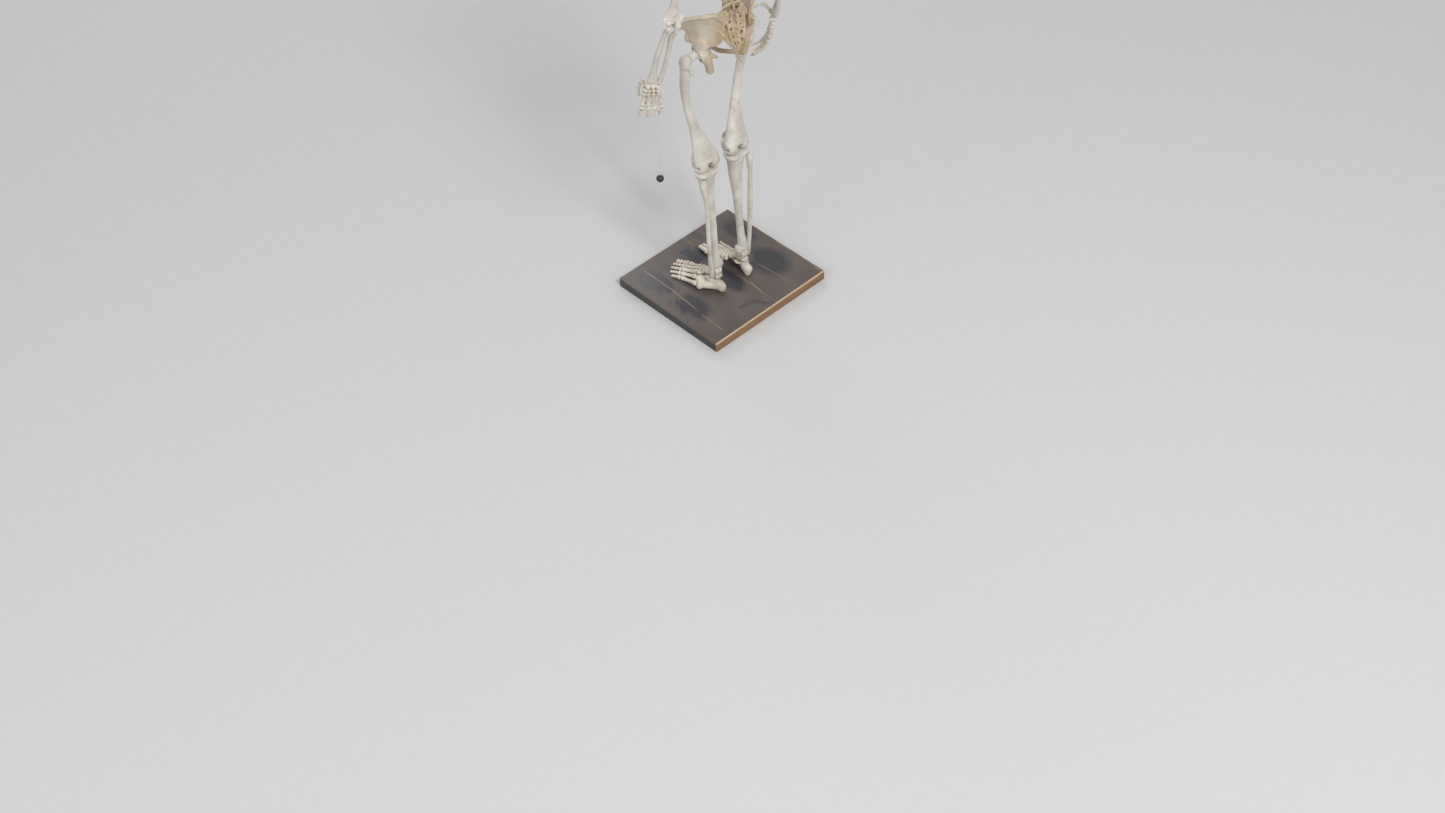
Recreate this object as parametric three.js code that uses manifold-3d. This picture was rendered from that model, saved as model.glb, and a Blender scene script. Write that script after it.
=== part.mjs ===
// Life-size human skeleton teaching model standing on a stone-topped board.
// Millimetres, +Z up. The origin is the middle of the board's underside; the figure faces -Y, and its
// left side is +X. Everything on the figure is measured from the top of the stone, and the figure's
// group is raised by the thickness of the base.
import * as THREE from "three";
import { mergeVertices } from "three/addons/utils/BufferGeometryUtils.js";
import Module from "manifold-3d";

const wasm = await Module();
wasm.setup();

// ---------------------------------------------------------------- driving dimensions
const BASE = { width: 500, depth: 450, board: 26, stone: 8, trim: 6 };
const FLOOR = BASE.board + BASE.stone;
const ANKLE = [60, 32, 76];
const KNEE = [65, -5, 497];
const HIP = [90, 0, 922];
const SHOULDER = [182, 12, 1430];
const ELBOW = [240, 44, 1119];
const WRIST = [255, -30, 878];
const SKULL = [0, 12, 1634]; // where the skull rests on the neck
const HEAD_R = 22; // femoral head
const GAP = 0.5; // least air between two pieces that touch on the real model
const PIN_R = 3;
const BORE_R = 3.6;
const ROD_R = 4.5;

// ---------------------------------------------------------------- materials
const bone = new THREE.MeshStandardMaterial({ color: 0xd9d1c0, roughness: 0.55 });
const agedBone = new THREE.MeshStandardMaterial({ color: 0xbfa67a, roughness: 0.6 });
const cartilage = new THREE.MeshStandardMaterial({ color: 0xcbb892, roughness: 0.5 });
const steel = new THREE.MeshStandardMaterial({ color: 0xa9acb0, roughness: 0.35, metalness: 1 });
const stone = new THREE.MeshStandardMaterial({ color: 0x5d5450, roughness: 0.25 });
const darkBoard = new THREE.MeshStandardMaterial({ color: 0x2f2f2d, roughness: 0.5 });
const woodTrim = new THREE.MeshStandardMaterial({ color: 0xb57a48, roughness: 0.45 });
const blackRubber = new THREE.MeshStandardMaterial({ color: 0x1b1b1a, roughness: 0.8 });

// ---------------------------------------------------------------- solids
const X_AXIS = new THREE.Vector3(1, 0, 0);
const Z_AXIS = new THREE.Vector3(0, 0, 1);

function solid(geometry) {
  const plain = geometry.clone();
  plain.deleteAttribute("normal");
  plain.deleteAttribute("uv");
  const merged = mergeVertices(plain, 1e-4);
  return new wasm.Manifold(
    new wasm.Mesh({
      numProp: 3,
      vertProperties: merged.attributes.position.array,
      triVerts: new Uint32Array(merged.index.array),
    }),
  );
}

function geometryOf(body) {
  const mesh = body.getMesh();
  const points = new Float32Array(mesh.numVert * 3);
  for (let i = 0; i < mesh.numVert; i++) {
    points.set(mesh.vertProperties.subarray(i * mesh.numProp, i * mesh.numProp + 3), i * 3);
  }
  const geometry = new THREE.BufferGeometry();
  geometry.setAttribute("position", new THREE.BufferAttribute(points, 3));
  geometry.setIndex(new THREE.BufferAttribute(new Uint32Array(mesh.triVerts), 1));
  return geometry;
}

// The same body with every vertex pushed out along its normal, for cutting a neighbour with some air.
function grown(body, by = GAP) {
  const geometry = mergeVertices(geometryOf(body), 1e-3);
  geometry.computeVertexNormals();
  const { position, normal } = geometry.attributes;
  for (let i = 0; i < position.count; i++) {
    position.setXYZ(
      i,
      position.getX(i) + by * normal.getX(i),
      position.getY(i) + by * normal.getY(i),
      position.getZ(i) + by * normal.getZ(i),
    );
  }
  return solid(geometry);
}

const join = (...bodies) => bodies.flat().reduce((a, b) => a.add(b));
const cut = (body, ...tools) => tools.flat().reduce((a, b) => a.subtract(b), body);
const vec = ([x, y, z]) => new THREE.Vector3(x, y, z);

// A bone shaft: a cylinder bent along a curve, or with four rounds a square bar, for straps. Each station is [x, y, z, a, b], where a is the half
// width towards `side` and b the half width square to it.
function limb(stations, { side = X_AXIS, rounds = 6, steps = 1, domed = true } = {}) {
  const list = domed ? withDomes(stations) : stations;
  const path = new THREE.CatmullRomCurve3(list.map(vec));
  const sizes = new THREE.CatmullRomCurve3(list.map(([, , , a, b]) => vec([a, b, 0])));
  const geometry = new THREE.CylinderGeometry(1, 1, 1, rounds, (list.length - 1) * steps);
  if (rounds === 4) geometry.rotateY(Math.PI / 4).scale(Math.SQRT2, 1, Math.SQRT2);
  const position = geometry.attributes.position;
  for (let i = 0; i < position.count; i++) {
    const t = 0.5 - position.getY(i);
    const along = path.getTangent(t);
    const across = side.clone().addScaledVector(along, -side.dot(along)).normalize();
    const square = along.clone().cross(across);
    const size = sizes.getPoint(t);
    const point = path
      .getPoint(t)
      .addScaledVector(across, position.getX(i) * size.x)
      .addScaledVector(square, position.getZ(i) * size.y);
    position.setXYZ(i, point.x, point.y, point.z);
  }
  return solid(geometry);
}

// Adds a smaller station past each end, so that the shaft ends in a blunt dome.
function withDomes(stations) {
  const DOME_REACH = 0.45;
  const DOME_SIZE = 0.55;
  const capFor = (end, next) => {
    const out = vec(end).sub(vec(next)).normalize();
    const reach = DOME_REACH * Math.min(end[3], end[4]);
    const tip = vec(end).addScaledVector(out, reach);
    return [tip.x, tip.y, tip.z, end[3] * DOME_SIZE, end[4] * DOME_SIZE];
  };
  const last = stations.length - 1;
  return [
    capFor(stations[0], stations[1]),
    ...stations,
    capFor(stations[last], stations[last - 1]),
  ];
}

function ball([x, y, z], [rx, ry, rz], { rounds = 8, rings = 5 } = {}) {
  const geometry = new THREE.SphereGeometry(1, rounds, rings);
  geometry.rotateX(Math.PI / 2);
  geometry.scale(rx, ry, rz).translate(x, y, z);
  return solid(geometry);
}

function box([x0, y0, z0], [x1, y1, z1]) {
  const geometry = new THREE.BoxGeometry(x1 - x0, y1 - y0, z1 - z0);
  geometry.translate((x0 + x1) / 2, (y0 + y1) / 2, (z0 + z1) / 2);
  return solid(geometry);
}

// A plain round bar from one point to another.
function bar(from, to, radius, rounds = 10) {
  const a = vec(from);
  const b = vec(to);
  const geometry = new THREE.CylinderGeometry(radius, radius, a.distanceTo(b), rounds);
  const turn = new THREE.Quaternion().setFromUnitVectors(
    new THREE.Vector3(0, 1, 0),
    b.clone().sub(a).normalize(),
  );
  geometry.applyQuaternion(turn);
  const middle = a.clone().add(b).multiplyScalar(0.5);
  geometry.translate(middle.x, middle.y, middle.z);
  return solid(geometry);
}

// Mirrors a list of points or stations to the figure's left (s = 1) or right (s = -1).
const sided = (s, list) => list.map(([x, ...rest]) => [s * x, ...rest]);
const sidedPoint = (s, [x, y, z]) => [s * x, y, z];
const mirrored = (s, body) => (s > 0 ? body : body.mirror([1, 0, 0]));

const figure = new THREE.Group();
figure.position.z = FLOOR;
const model = new THREE.Group();
model.add(figure);

function add(name, body, material, group = figure) {
  const mesh = new THREE.Mesh(geometryOf(body), material);
  mesh.geometry.computeVertexNormals();
  mesh.name = name;
  group.add(mesh);
}

// ---------------------------------------------------------------- legs, drawn for the left side
const HEEL_BOLT = [62, 44];
const TALUS_R = 17;
const CONDYLE_R = 21;
const SOLE = 0.5; // air between the foot and the stone

function femurBody() {
  const shaft = limb(
    [
      [138, -18, 900, 17, 17],
      [135, -20, 862, 17, 16],
      [124, -36, 796, 14, 14.5],
      [107, -41, 707, 13.5, 14],
      [89, -33, 630, 17, 15],
      [79, -23, 580, 28, 18],
      [69, -11, 528, 41, 21],
    ],
    { rounds: 8 },
  );
  const neck = limb([
    [98, -2, 920, 15, 14],
    [116, -8, 915, 12, 13],
    [138, -17, 905, 15, 15],
  ], { side: Z_AXIS });
  const head = ball(HIP, [HEAD_R, HEAD_R, HEAD_R], { rounds: 10, rings: 6 });
  const greaterTrochanter = ball([146, -12, 910], [15, 18, 24]);
  const lesserTrochanter = ball([123, -8, 862], [9, 9, 12]);
  const [x, y, z] = KNEE;
  const medial = bar([x - 42, y, z], [x - 12, y, z], CONDYLE_R, 14);
  const lateral = bar([x + 12, y, z], [x + 42, y, z], CONDYLE_R, 14);
  const trochlea = ball([x, y - 13, z + 13], [32, 17, 20]);
  const whole = join(shaft, neck, head, greaterTrochanter, lesserTrochanter, medial, lateral, trochlea);
  const notch = box([x - 8, y - 10, z - 32], [x + 8, y + 50, z + 14]);
  const kneeBore = bar([x - 60, y, z], [x + 60, y, z], BORE_R);
  const hipBore = bar([60, 0, HIP[2]], [104, 0, HIP[2]], BORE_R);
  return cut(whole, notch, kneeBore, hipBore);
}

function fibulaBody() {
  return limb([
    [103, 18, 448, 9, 9],
    [102, 20, 434, 11, 11],
    [99, 24, 404, 8, 8],
    [96, 32, 300, 7, 8],
    [93, 34, 200, 6.5, 7.5],
    [88, 35, 130, 7, 8],
    [84, 35, 96, 7.5, 10],
    [83, 36, 76, 6.5, 9],
    [83, 37, 66, 4, 6],
  ]);
}

function tibiaBody(fibula) {
  const shaft = limb(
    [
      [65, -5, 473, 40, 24],
      [65, -5, 460, 40, 25],
      [64, -6, 434, 31, 24],
      [62, -5, 390, 24, 22],
      [60, 3, 335, 17, 18],
      [58, 14, 260, 13, 14.5],
      [59, 25, 160, 13, 13],
      [60, 31, 118, 17, 15],
      [60, 32, 100, 21, 17],
    ],
    { rounds: 8, domed: false },
  );
  const tuberosity = ball([63, -27, 434], [9, 7, 13]);
  const malleolus = ball([40, 31, 86], [5.5, 11, 18]);
  const [x, y, z] = KNEE;
  const lug = join(bar([x - 5, y, z], [x + 5, y, z], 9), box([x - 5, y - 8, z - 33], [x + 5, y + 8, z]));
  const whole = join(shaft, tuberosity, malleolus, lug);
  const [, ay, az] = ANKLE;
  const talusRoom = bar([46, ay, az], [120, ay, az], TALUS_R + 2, 16);
  return cut(
    whole,
    talusRoom,
    bar([x - 20, y, z], [x + 20, y, z], BORE_R),
    bar([20, ay, az], [50, ay, az], BORE_R),
    grown(fibula),
  );
}

function hindfootBodies() {
  const calcaneus = limb(
    [
      [60, 66, 19, 13, 14],
      [60, 58, 21, 17, 19],
      [62, 40, 27, 15, 19],
      [64, 15, 33, 14, 15],
      [67, -6, 29, 12, 12],
    ],
    { rounds: 8 },
  );
  const [, y, z] = ANKLE;
  const dome = bar([48, y, z], [72, y, z], TALUS_R, 14);
  const talus = limb([
    [60, 40, 58, 13, 10],
    [59, 20, 57, 14, 12],
    [57, 4, 53, 11, 11],
    [55, -10, 47, 13, 12],
  ]);
  return [calcaneus, dome, talus];
}

// Each ray of the foot: base, head of the metatarsal, middle joint and tip of the toe, with half widths.
const FOOT_RAYS = [
  [[45, -30, 33, 11, 11], [47, -100, 13, 11, 10], [52, -125, 11, 8, 7.5], [58, -148, 9, 9, 6.5]],
  [[57, -32, 36, 8, 9.5], [65, -104, 12, 8, 7.5], [70, -130, 10, 5.6, 5.4], [75, -148, 7, 5.2, 4.2]],
  [[70, -30, 32, 8, 9], [80, -101, 11, 8, 7.5], [87, -124, 9, 5.6, 5.2], [92, -141, 6, 5.2, 4.2]],
  [[86, -24, 26, 8, 8.5], [96, -92, 10, 8, 7.2], [102, -114, 8, 5.4, 5.2], [108, -130, 6, 5.2, 4.2]],
  [[102, -6, 18, 10, 9], [110, -78, 9, 8, 7.2], [115, -97, 7, 5.4, 5.2], [121, -113, 6, 5.2, 4.2]],
];

function footBody(toeOut) {
  const [x, y, z] = ANKLE;
  const rays = FOOT_RAYS.map((ray) => limb(ray));
  const tarsals = [ball([53, -22, 38], [18, 18, 14]), ball([82, -10, 24], [20, 20, 14])];
  const forefoot = join(rays, tarsals).translate([-x, -y, 0]).rotate([0, 0, toeOut]).translate([x, y, 0]);
  return cut(
    join(forefoot, hindfootBodies()),
    bar([30, y, z], [90, y, z], BORE_R),
    bar([...HEEL_BOLT, -5], [...HEEL_BOLT, 30], BORE_R),
    box([0, -200, -30], [200, 100, SOLE]),
  );
}

function addLeg(s, side, toeOut) {
  const fibula = fibulaBody();
  const tibia = tibiaBody(fibula);
  add(`${side}_femur`, mirrored(s, femurBody()), bone);
  const [kx, ky, kz] = KNEE;
  add(`${side}_patella`, mirrored(s, ball([kx, ky - 40, kz + 14], [21, 8, 21])), bone);
  add(`${side}_knee_pin`, mirrored(s, bar([kx - 43, ky, kz], [kx + 43, ky, kz], PIN_R)), steel);
  add(`${side}_tibia`, mirrored(s, tibia), bone);
  const fibulaBore = bar([70, ANKLE[1], ANKLE[2]], [84, ANKLE[1], ANKLE[2]], BORE_R);
  add(`${side}_fibula`, mirrored(s, cut(fibula, fibulaBore)), bone);
  add(`${side}_ankle_pin`, mirrored(s, bar([37, ANKLE[1], ANKLE[2]], [83, ANKLE[1], ANKLE[2]], PIN_R)), steel);
  add(`${side}_foot`, mirrored(s, footBody(toeOut)), bone);
}

// ---------------------------------------------------------------- pelvis, drawn for the left side
function hipBoneBody() {
  const blade = limb(
    [
      [121, -52, 990, 16, 4],
      [121, -34, 992, 40, 4],
      [117, -8, 1000, 54, 4.5],
      [108, 14, 1008, 54, 5],
      [92, 34, 1014, 54, 6],
      [76, 48, 1016, 52, 8],
      [62, 56, 1012, 40, 8],
    ],
    { side: new THREE.Vector3(0.34, 0, 0.94) },
  );
  const crest = limb(
    [
      [128, -53, 1007, 6, 7],
      [135, -34, 1034, 7, 6],
      [131, -10, 1052, 8, 6],
      [119, 16, 1062, 8, 6],
      [101, 36, 1067, 7, 6],
      [80, 50, 1067, 7, 6],
      [62, 59, 1050, 7, 7],
    ],
    { rounds: 6 },
  );
  const body = limb(
    [
      [84, 0, 925, 26, 26],
      [93, 0, 950, 24, 30],
      [104, -4, 975, 12, 34],
    ],
    { domed: false },
  );
  const frontSpine = ball([108, -35, 960], [10, 10, 16]);
  const ischium = limb([
    [80, 16, 912, 18, 20],
    [76, 20, 886, 14, 16],
    [71, 18, 862, 11, 12],
    [69, 12, 848, 8, 9],
  ]);
  const ischialSpine = limb([[70, 28, 912, 7, 9], [56, 39, 905, 3, 5]]);
  const lowerRamus = limb([
    [66, 8, 849, 7, 9],
    [42, -20, 848, 6, 8],
    [22, -44, 852, 6, 9],
    [11, -56, 864, 6, 12],
  ]);
  const upperRamus = limb([
    [76, -16, 920, 12, 12],
    [54, -38, 912, 9, 9],
    [30, -54, 901, 8, 9],
    [12, -60, 888, 7, 14],
  ], { side: Z_AXIS });
  const socket = ball(HIP, [31, 31, 31], { rounds: 10, rings: 6 });
  const whole = join(blade, crest, body, frontSpine, ischium, ischialSpine, lowerRamus, upperRamus, socket);
  const room = ball(HIP, [25, 25, 25], { rounds: 10, rings: 6 });
  const mouth = bar(HIP, [160, -14, 898], 27, 12);
  const neckRoom = limb([[112, 0, 922, 30, 30], [150, -14, 905, 42, 44]], { domed: false });
  const bolt = bar([50, 0, HIP[2]], [70, 0, HIP[2]], BORE_R);
  return cut(whole, room, mouth, neckRoom, bolt, grown(sacralPlate()), box([-40, -200, 700], [4, 200, 1200]));
}

function sacralPlate() {
  return limb(
    [
      [0, 32, 1044, 54, 19],
      [0, 37, 1018, 55, 18],
      [0, 45, 985, 51, 16],
      [0, 54, 956, 40, 13],
      [0, 62, 930, 22, 9],
      [0, 64, 910, 10, 6],
      [0, 61, 896, 5, 4],
    ],
    { rounds: 8 },
  );
}

function sacrumBody() {
  const medianCrest = limb([
    [0, 52, 1036, 4, 8],
    [0, 62, 1000, 4, 8],
    [0, 68, 962, 4, 6],
  ]);
  return join(sacralPlate(), medianCrest);
}

// ---------------------------------------------------------------- spine
const SPINE_LINE = [
  [0, 33, 1048],
  [0, 20, 1105],
  [0, 15, 1160],
  [0, 21, 1230],
  [0, 44, 1310],
  [0, 60, 1390],
  [0, 56, 1450],
  [0, 38, 1508],
  [0, 20, 1560],
  [0, 13, 1600],
  [0, 12, 1632],
];
const spineCurve = new THREE.CatmullRomCurve3(SPINE_LINE.map(vec));

// The point of the spine's curve at a height.
function spineAt(z) {
  let low = 0;
  let high = 1;
  for (let i = 0; i < 30; i++) {
    const mid = (low + high) / 2;
    if (spineCurve.getPoint(mid).z < z) low = mid;
    else high = mid;
  }
  return spineCurve.getPoint(low);
}

// Each region of the spine: its heights, number of vertebrae, and the sizes of a vertebra at the
// bottom and at the top: half width, half depth, reach of the transverse and of the spinous process.
const REGIONS = {
  lumbar: { from: 1054, to: 1232, count: 5, low: [27, 17, 54, 52], high: [23, 15, 44, 48], droop: 4 },
  thoracic: { from: 1234, to: 1508, count: 12, low: [20, 14, 23, 46], high: [14, 10, 24, 42], droop: 16 },
  cervical: { from: 1510, to: 1622, count: 7, low: [13, 9, 24, 38], high: [11, 8, 27, 24], droop: 8 },
};

// The transverse processes and the spinous process of one vertebra, as one plate that droops backwards.
function archPlate(rear, z, wing, tip, droop) {
  const outline = new THREE.Shape(
    [
      [-wing, 10],
      [-wing, 2],
      [0, -4],
      [wing, 2],
      [wing, 10],
      [5, 13],
      [3, tip - rear],
      [-3, tip - rear],
      [-5, 13],
    ].map(([x, y]) => new THREE.Vector2(x, y)),
  );
  const plate = new THREE.ExtrudeGeometry(outline, { depth: 8, bevelEnabled: false });
  plate.translate(0, 0, -4).rotateX(-Math.atan2(droop, tip - rear));
  plate.translate(0, rear, z + 1);
  return solid(plate);
}

function spineRegion({ from, to, count, low, high, droop }) {
  const pitch = (to - from) / count;
  const mix = (i, k) => THREE.MathUtils.lerp(low[k], high[k], i / (count - 1));
  const column = [];
  const processes = [];
  for (let i = 0; i < count; i++) {
    const z = from + pitch * (i + 0.5);
    const { y } = spineAt(z);
    const half = pitch * 0.36;
    const bottom = spineAt(z - half);
    const top = spineAt(z + half);
    const [a, b, wing, spine] = [mix(i, 0), mix(i, 1), mix(i, 2), mix(i, 3)];
    column.push([0, bottom.y, bottom.z, a, b], [0, y, z, a * 0.84, b * 0.84], [0, top.y, top.z, a, b]);
    const rear = y + b;
    processes.push(archPlate(y + b, z, wing, y + spine, droop));
  }
  const first = spineAt(from);
  const last = spineAt(to);
  column.unshift([0, first.y, first.z, low[0], low[1]]);
  column.push([0, last.y, last.z, high[0], high[1]]);
  return join(limb(column, { rounds: 8, domed: false }), processes);
}

function rodBody() {
  const stations = [1000, 1052, 1110, 1170, 1240, 1320, 1390, 1450, 1510, 1570, 1610, 1648].map((z) => {
    const p = z < 1048 ? vec([0, 48 - (z - 1000) * 0.31, z]) : spineAt(Math.min(z, 1631));
    return [0, p.y, z, ROD_R, ROD_R];
  });
  return limb(stations, { domed: false, steps: 1 });
}

// ---------------------------------------------------------------- rib cage
// Sizes of rib 1 to rib 12: height at the spine, half width, front and rear reach, drop to the front,
// and how far round from the spine the bony part runs, as a share of half a turn.
const RIBS = [
  [1505, 52, -46, 66, 26, 0.86],
  [1483, 80, -62, 80, 40, 0.84],
  [1460, 100, -76, 86, 54, 0.82],
  [1437, 114, -86, 90, 66, 0.81],
  [1414, 124, -94, 92, 76, 0.8],
  [1391, 132, -99, 92, 86, 0.78],
  [1368, 138, -100, 90, 94, 0.76],
  [1345, 141, -98, 86, 100, 0.74],
  [1322, 140, -92, 80, 104, 0.7],
  [1300, 136, -82, 74, 102, 0.64],
  [1277, 124, -60, 66, 84, 0.5],
  [1254, 104, -30, 58, 52, 0.34],
];
// How far from the midline each rib's head stops, just outside its vertebra.
const HEAD_OUT = RIBS.map((_, i) => (i < 1 ? 20 : 18) + i * 0.6);
const STERNUM = { top: [0, -62, 1448], bottom: [0, -100, 1290], half: 14 };

// A point on rib i, where turn runs from 0 at the spine to 1 at the front.
function ribPoint(i, turn) {
  const [z, width, front, rear, drop] = RIBS[i];
  const angle = turn * Math.PI;
  const middle = (front + rear) / 2;
  const reach = (rear - front) / 2;
  const x = width * Math.sin(angle) ** 0.85;
  return [x, middle + reach * Math.cos(angle), z - (drop * (1 - Math.cos(angle))) / 2];
}

function ribBody(i) {
  const [z, , , , , end] = RIBS[i];
  const root = spineAt(z);
  const head = [
    [HEAD_OUT[i], root.y + 5, z + 2, 3.6, 3],
    [29, root.y + 24, z + 1, 3.6, 2.6],
  ];
  const turns = [0.14, 0.3, 0.52, 0.76, 1].map((t) => Math.min(t * end + 0.05, end));
  const rest = turns.map((t) => [...ribPoint(i, t), 4.6, 2.6]);
  const front = i > 9 ? [] : [[...cartilageEnd(i).toArray(), 4.6, 3.2]];
  return limb([...head, ...rest, ...front], { side: Z_AXIS, rounds: 4, domed: false });
}

// Where the cartilage of rib i ends: on the breastbone, or for the lower ribs on the cartilage above.
function cartilageEnd(i) {
  if (i > 6) return vec(ribPoint(i - 1, RIBS[i - 1][5])).lerp(cartilageEnd(i - 1), 0.45);
  const share = 0.06 + (0.86 * i) / 6;
  const target = vec(STERNUM.top).lerp(vec(STERNUM.bottom), share);
  return target.setX(8);
}

function sternumBody() {
  const { top, bottom } = STERNUM;
  const at = (share, half, thick) => {
    const p = vec(top).lerp(vec(bottom), share);
    return [p.x, p.y, p.z, half, thick];
  };
  return limb([at(0, 24, 5), at(0.14, 26, 6), at(0.3, 14, 5), at(0.6, 17, 5), at(0.92, 18, 4.5), at(1.12, 6, 3)]);
}

// The two lowest ribs hang from the spine alone, so their heads run into it.
function floatingRib(i) {
  const [z] = RIBS[i];
  const { y } = spineAt(z);
  return join(ribBody(i), limb([[10, y, z + 2, 4, 3], [29, y + 24, z + 1, 3.6, 2.6]], { side: Z_AXIS, rounds: 4, domed: false }));
}

function ribCageBody() {
  const halves = [];
  for (let i = 0; i < 10; i++) {
    halves.push(ribBody(i));
  }
  const left = join(halves);
  return join(left, left.mirror([1, 0, 0]), sternumBody());
}

// ---------------------------------------------------------------- shoulder girdle, left side
function clavicleBody() {
  return limb([
    [30, -64, 1452, 9, 8],
    [60, -72, 1458, 6, 6],
    [105, -48, 1464, 5.5, 5.5],
    [140, -18, 1468, 6, 7],
    [166, -2, 1468, 5, 8],
  ], { side: Z_AXIS });
}

function scapulaBody() {
  const outline = new THREE.Shape([
    new THREE.Vector2(0, 0),
    new THREE.Vector2(-8, 92),
    new THREE.Vector2(-2, 158),
    new THREE.Vector2(40, 150),
    new THREE.Vector2(88, 140),
    new THREE.Vector2(90, 116),
    new THREE.Vector2(52, 74),
    new THREE.Vector2(16, 12),
  ]);
  const plate = new THREE.ExtrudeGeometry(outline, { depth: 4, bevelEnabled: false });
  const outward = vec([78, -72, 0]).normalize();
  const up = vec([0, -0.12, 0.99]).normalize();
  const through = outward.clone().cross(up);
  plate.applyMatrix4(new THREE.Matrix4().makeBasis(outward, up, through));
  plate.translate(88, 112, 1290);
  const glenoid = ball([150, 26, 1427], [11, 21, 18]);
  const spine = limb([
    [86, 99, 1412, 5, 5],
    [112, 81, 1424, 7, 6],
    [136, 66, 1440, 8, 6],
    [160, 52, 1455, 8, 6],
    [182, 34, 1466, 9, 6],
    [190, 10, 1469, 9, 5],
  ], { side: new THREE.Vector3(0, 0.7, 0.7) });
  const coracoid = limb([
    [146, 30, 1432, 8, 8],
    [144, 6, 1452, 6, 6],
    [158, -16, 1440, 5, 5],
  ]);
  return join(solid(plate), glenoid, spine, coracoid);
}

// ---------------------------------------------------------------- arms
// The forearm and hand are turned in: `radial` points to the thumb's side and `palmar` out of the palm.
const ELBOW_TURN = THREE.MathUtils.degToRad(20);
const WRIST_TURN = THREE.MathUtils.degToRad(45);
const radialAt = (turn) => new THREE.Vector3(Math.cos(turn), -Math.sin(turn), 0);
const palmarAt = (turn) => new THREE.Vector3(-Math.sin(turn), -Math.cos(turn), 0);
const hinge = radialAt(ELBOW_TURN);
const radial = radialAt(WRIST_TURN);

// A point near an arm landmark, by its distance towards the thumb, out of the palm and downwards.
function armPoint([x, y, z], thumbward, palmward, down, turn = WRIST_TURN) {
  return vec([x, y, z])
    .addScaledVector(radialAt(turn), thumbward)
    .addScaledVector(palmarAt(turn), palmward)
    .add(vec([0, 0, -down]))
    .toArray();
}
const armStation = (origin, [r, p, d], a, b) => [...armPoint(origin, r, p, d), a, b];
const elbowStation = ([r, p, d], a, b) => [...armPoint(ELBOW, r, p, d, ELBOW_TURN), a, b];
// A station part of the way down the forearm, which twists from the elbow's turn to the wrist's.
const forearmStation = (share, [r, p], a, b) => {
  const middle = vec(ELBOW).lerp(vec(WRIST), share).toArray();
  const turn = THREE.MathUtils.lerp(ELBOW_TURN, WRIST_TURN, share);
  return [...armPoint(middle, r, p, 0, turn), a, b];
};
const elbowBar = (from, to, radius, rounds = 12) =>
  bar(armPoint(ELBOW, from, 0, 0, ELBOW_TURN), armPoint(ELBOW, to, 0, 0, ELBOW_TURN), radius, rounds);

function humerusBody() {
  const shaft = limb(
    [
      [190, 14, 1414, 18, 18],
      [198, 19, 1378, 12, 12],
      [208, 26, 1310, 10.5, 11],
      [220, 34, 1230, 10, 10],
      [231, 40, 1165, 13, 9],
      [238, 42, 1138, 24, 6.5],
      [240, 43, 1126, 26, 6.5],
    ],
    { side: hinge },
  );
  const head = ball(SHOULDER, [22, 22, 22], { rounds: 12, rings: 8 });
  const tubercle = ball([200, 8, 1424], [10, 13, 17]);
  const trochlea = elbowBar(-22, 22, 9);
  const boltBore = bar([150, SHOULDER[1], SHOULDER[2]], [195, SHOULDER[1], SHOULDER[2]], BORE_R);
  return cut(join(shaft, head, tubercle, trochlea), boltBore);
}

function ulnaBody() {
  const shaft = limb(
    [
      elbowStation([-8, -18, -12], 8, 5.5),
      elbowStation([-8, -17, 4], 9, 8),
      elbowStation([-8, -4, 20], 10, 11),
      forearmStation(0.2, [-11, 0], 8, 9),
      forearmStation(0.5, [-15, -2], 7, 7.5),
      forearmStation(0.8, [-17, -2], 6.5, 6.5),
      forearmStation(0.96, [-18, -2], 8.5, 8.5),
    ],
    { side: radial },
  );
  const coronoid = ball(armPoint(ELBOW, -8, 11, 15, ELBOW_TURN), [9, 9, 8]);
  return cut(join(shaft, coronoid), elbowBar(-60, 60, 11, 14));
}

function radiusBody(ulna) {
  const shaft = limb(
    [
      elbowStation([14, 0, 13], 10, 10),
      elbowStation([14, 0, 20], 10, 10),
      forearmStation(0.16, [13, 1], 7, 7),
      forearmStation(0.5, [14, 2], 8.5, 7.5),
      forearmStation(0.8, [10, 1], 10, 8),
      forearmStation(0.93, [5, 1], 15, 10),
      forearmStation(0.975, [4, 1], 16, 10),
    ],
    { side: radial, domed: false },
  );
  return cut(shaft, grown(ulna, 1), elbowBar(-60, 60, 11, 14));
}

// Fingers: name, place across the hand at the knuckle, knuckle's distance from the wrist, splay,
// lengths of the three finger bones.
const FINGERS = [
  ["index", 34, 88, 0.15, [42, 26, 19]],
  ["middle", 17.5, 90, 0.02, [46, 29, 20]],
  ["ring", -1, 87, -0.1, [43, 27, 20]],
  ["little", -21, 80, -0.07, [35, 20, 17]],
];
// How each hand is set: tilt of the palm, bend of each finger bone from straight down (degrees), and
// the thumb's joints as [thumbward, palmward, down] from the wrist.
const HANDS = {
  left: { tilt: 8, bend: [20, 52, 80], thumb: [[24, 11, 24], [35, 32, 12], [47, 36, 40], [44, 34, 70]] },
  right: { tilt: 10, bend: [30, 52, 76], thumb: [[24, 6, 14], [60, 30, 8], [74, 54, 18], [74, 70, 38]] },
};
const CARPUS_END = 34;

const tilted = (tilt, down) => {
  const angle = THREE.MathUtils.degToRad(tilt);
  return [down * Math.sin(angle), down * Math.cos(angle)];
};

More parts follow.
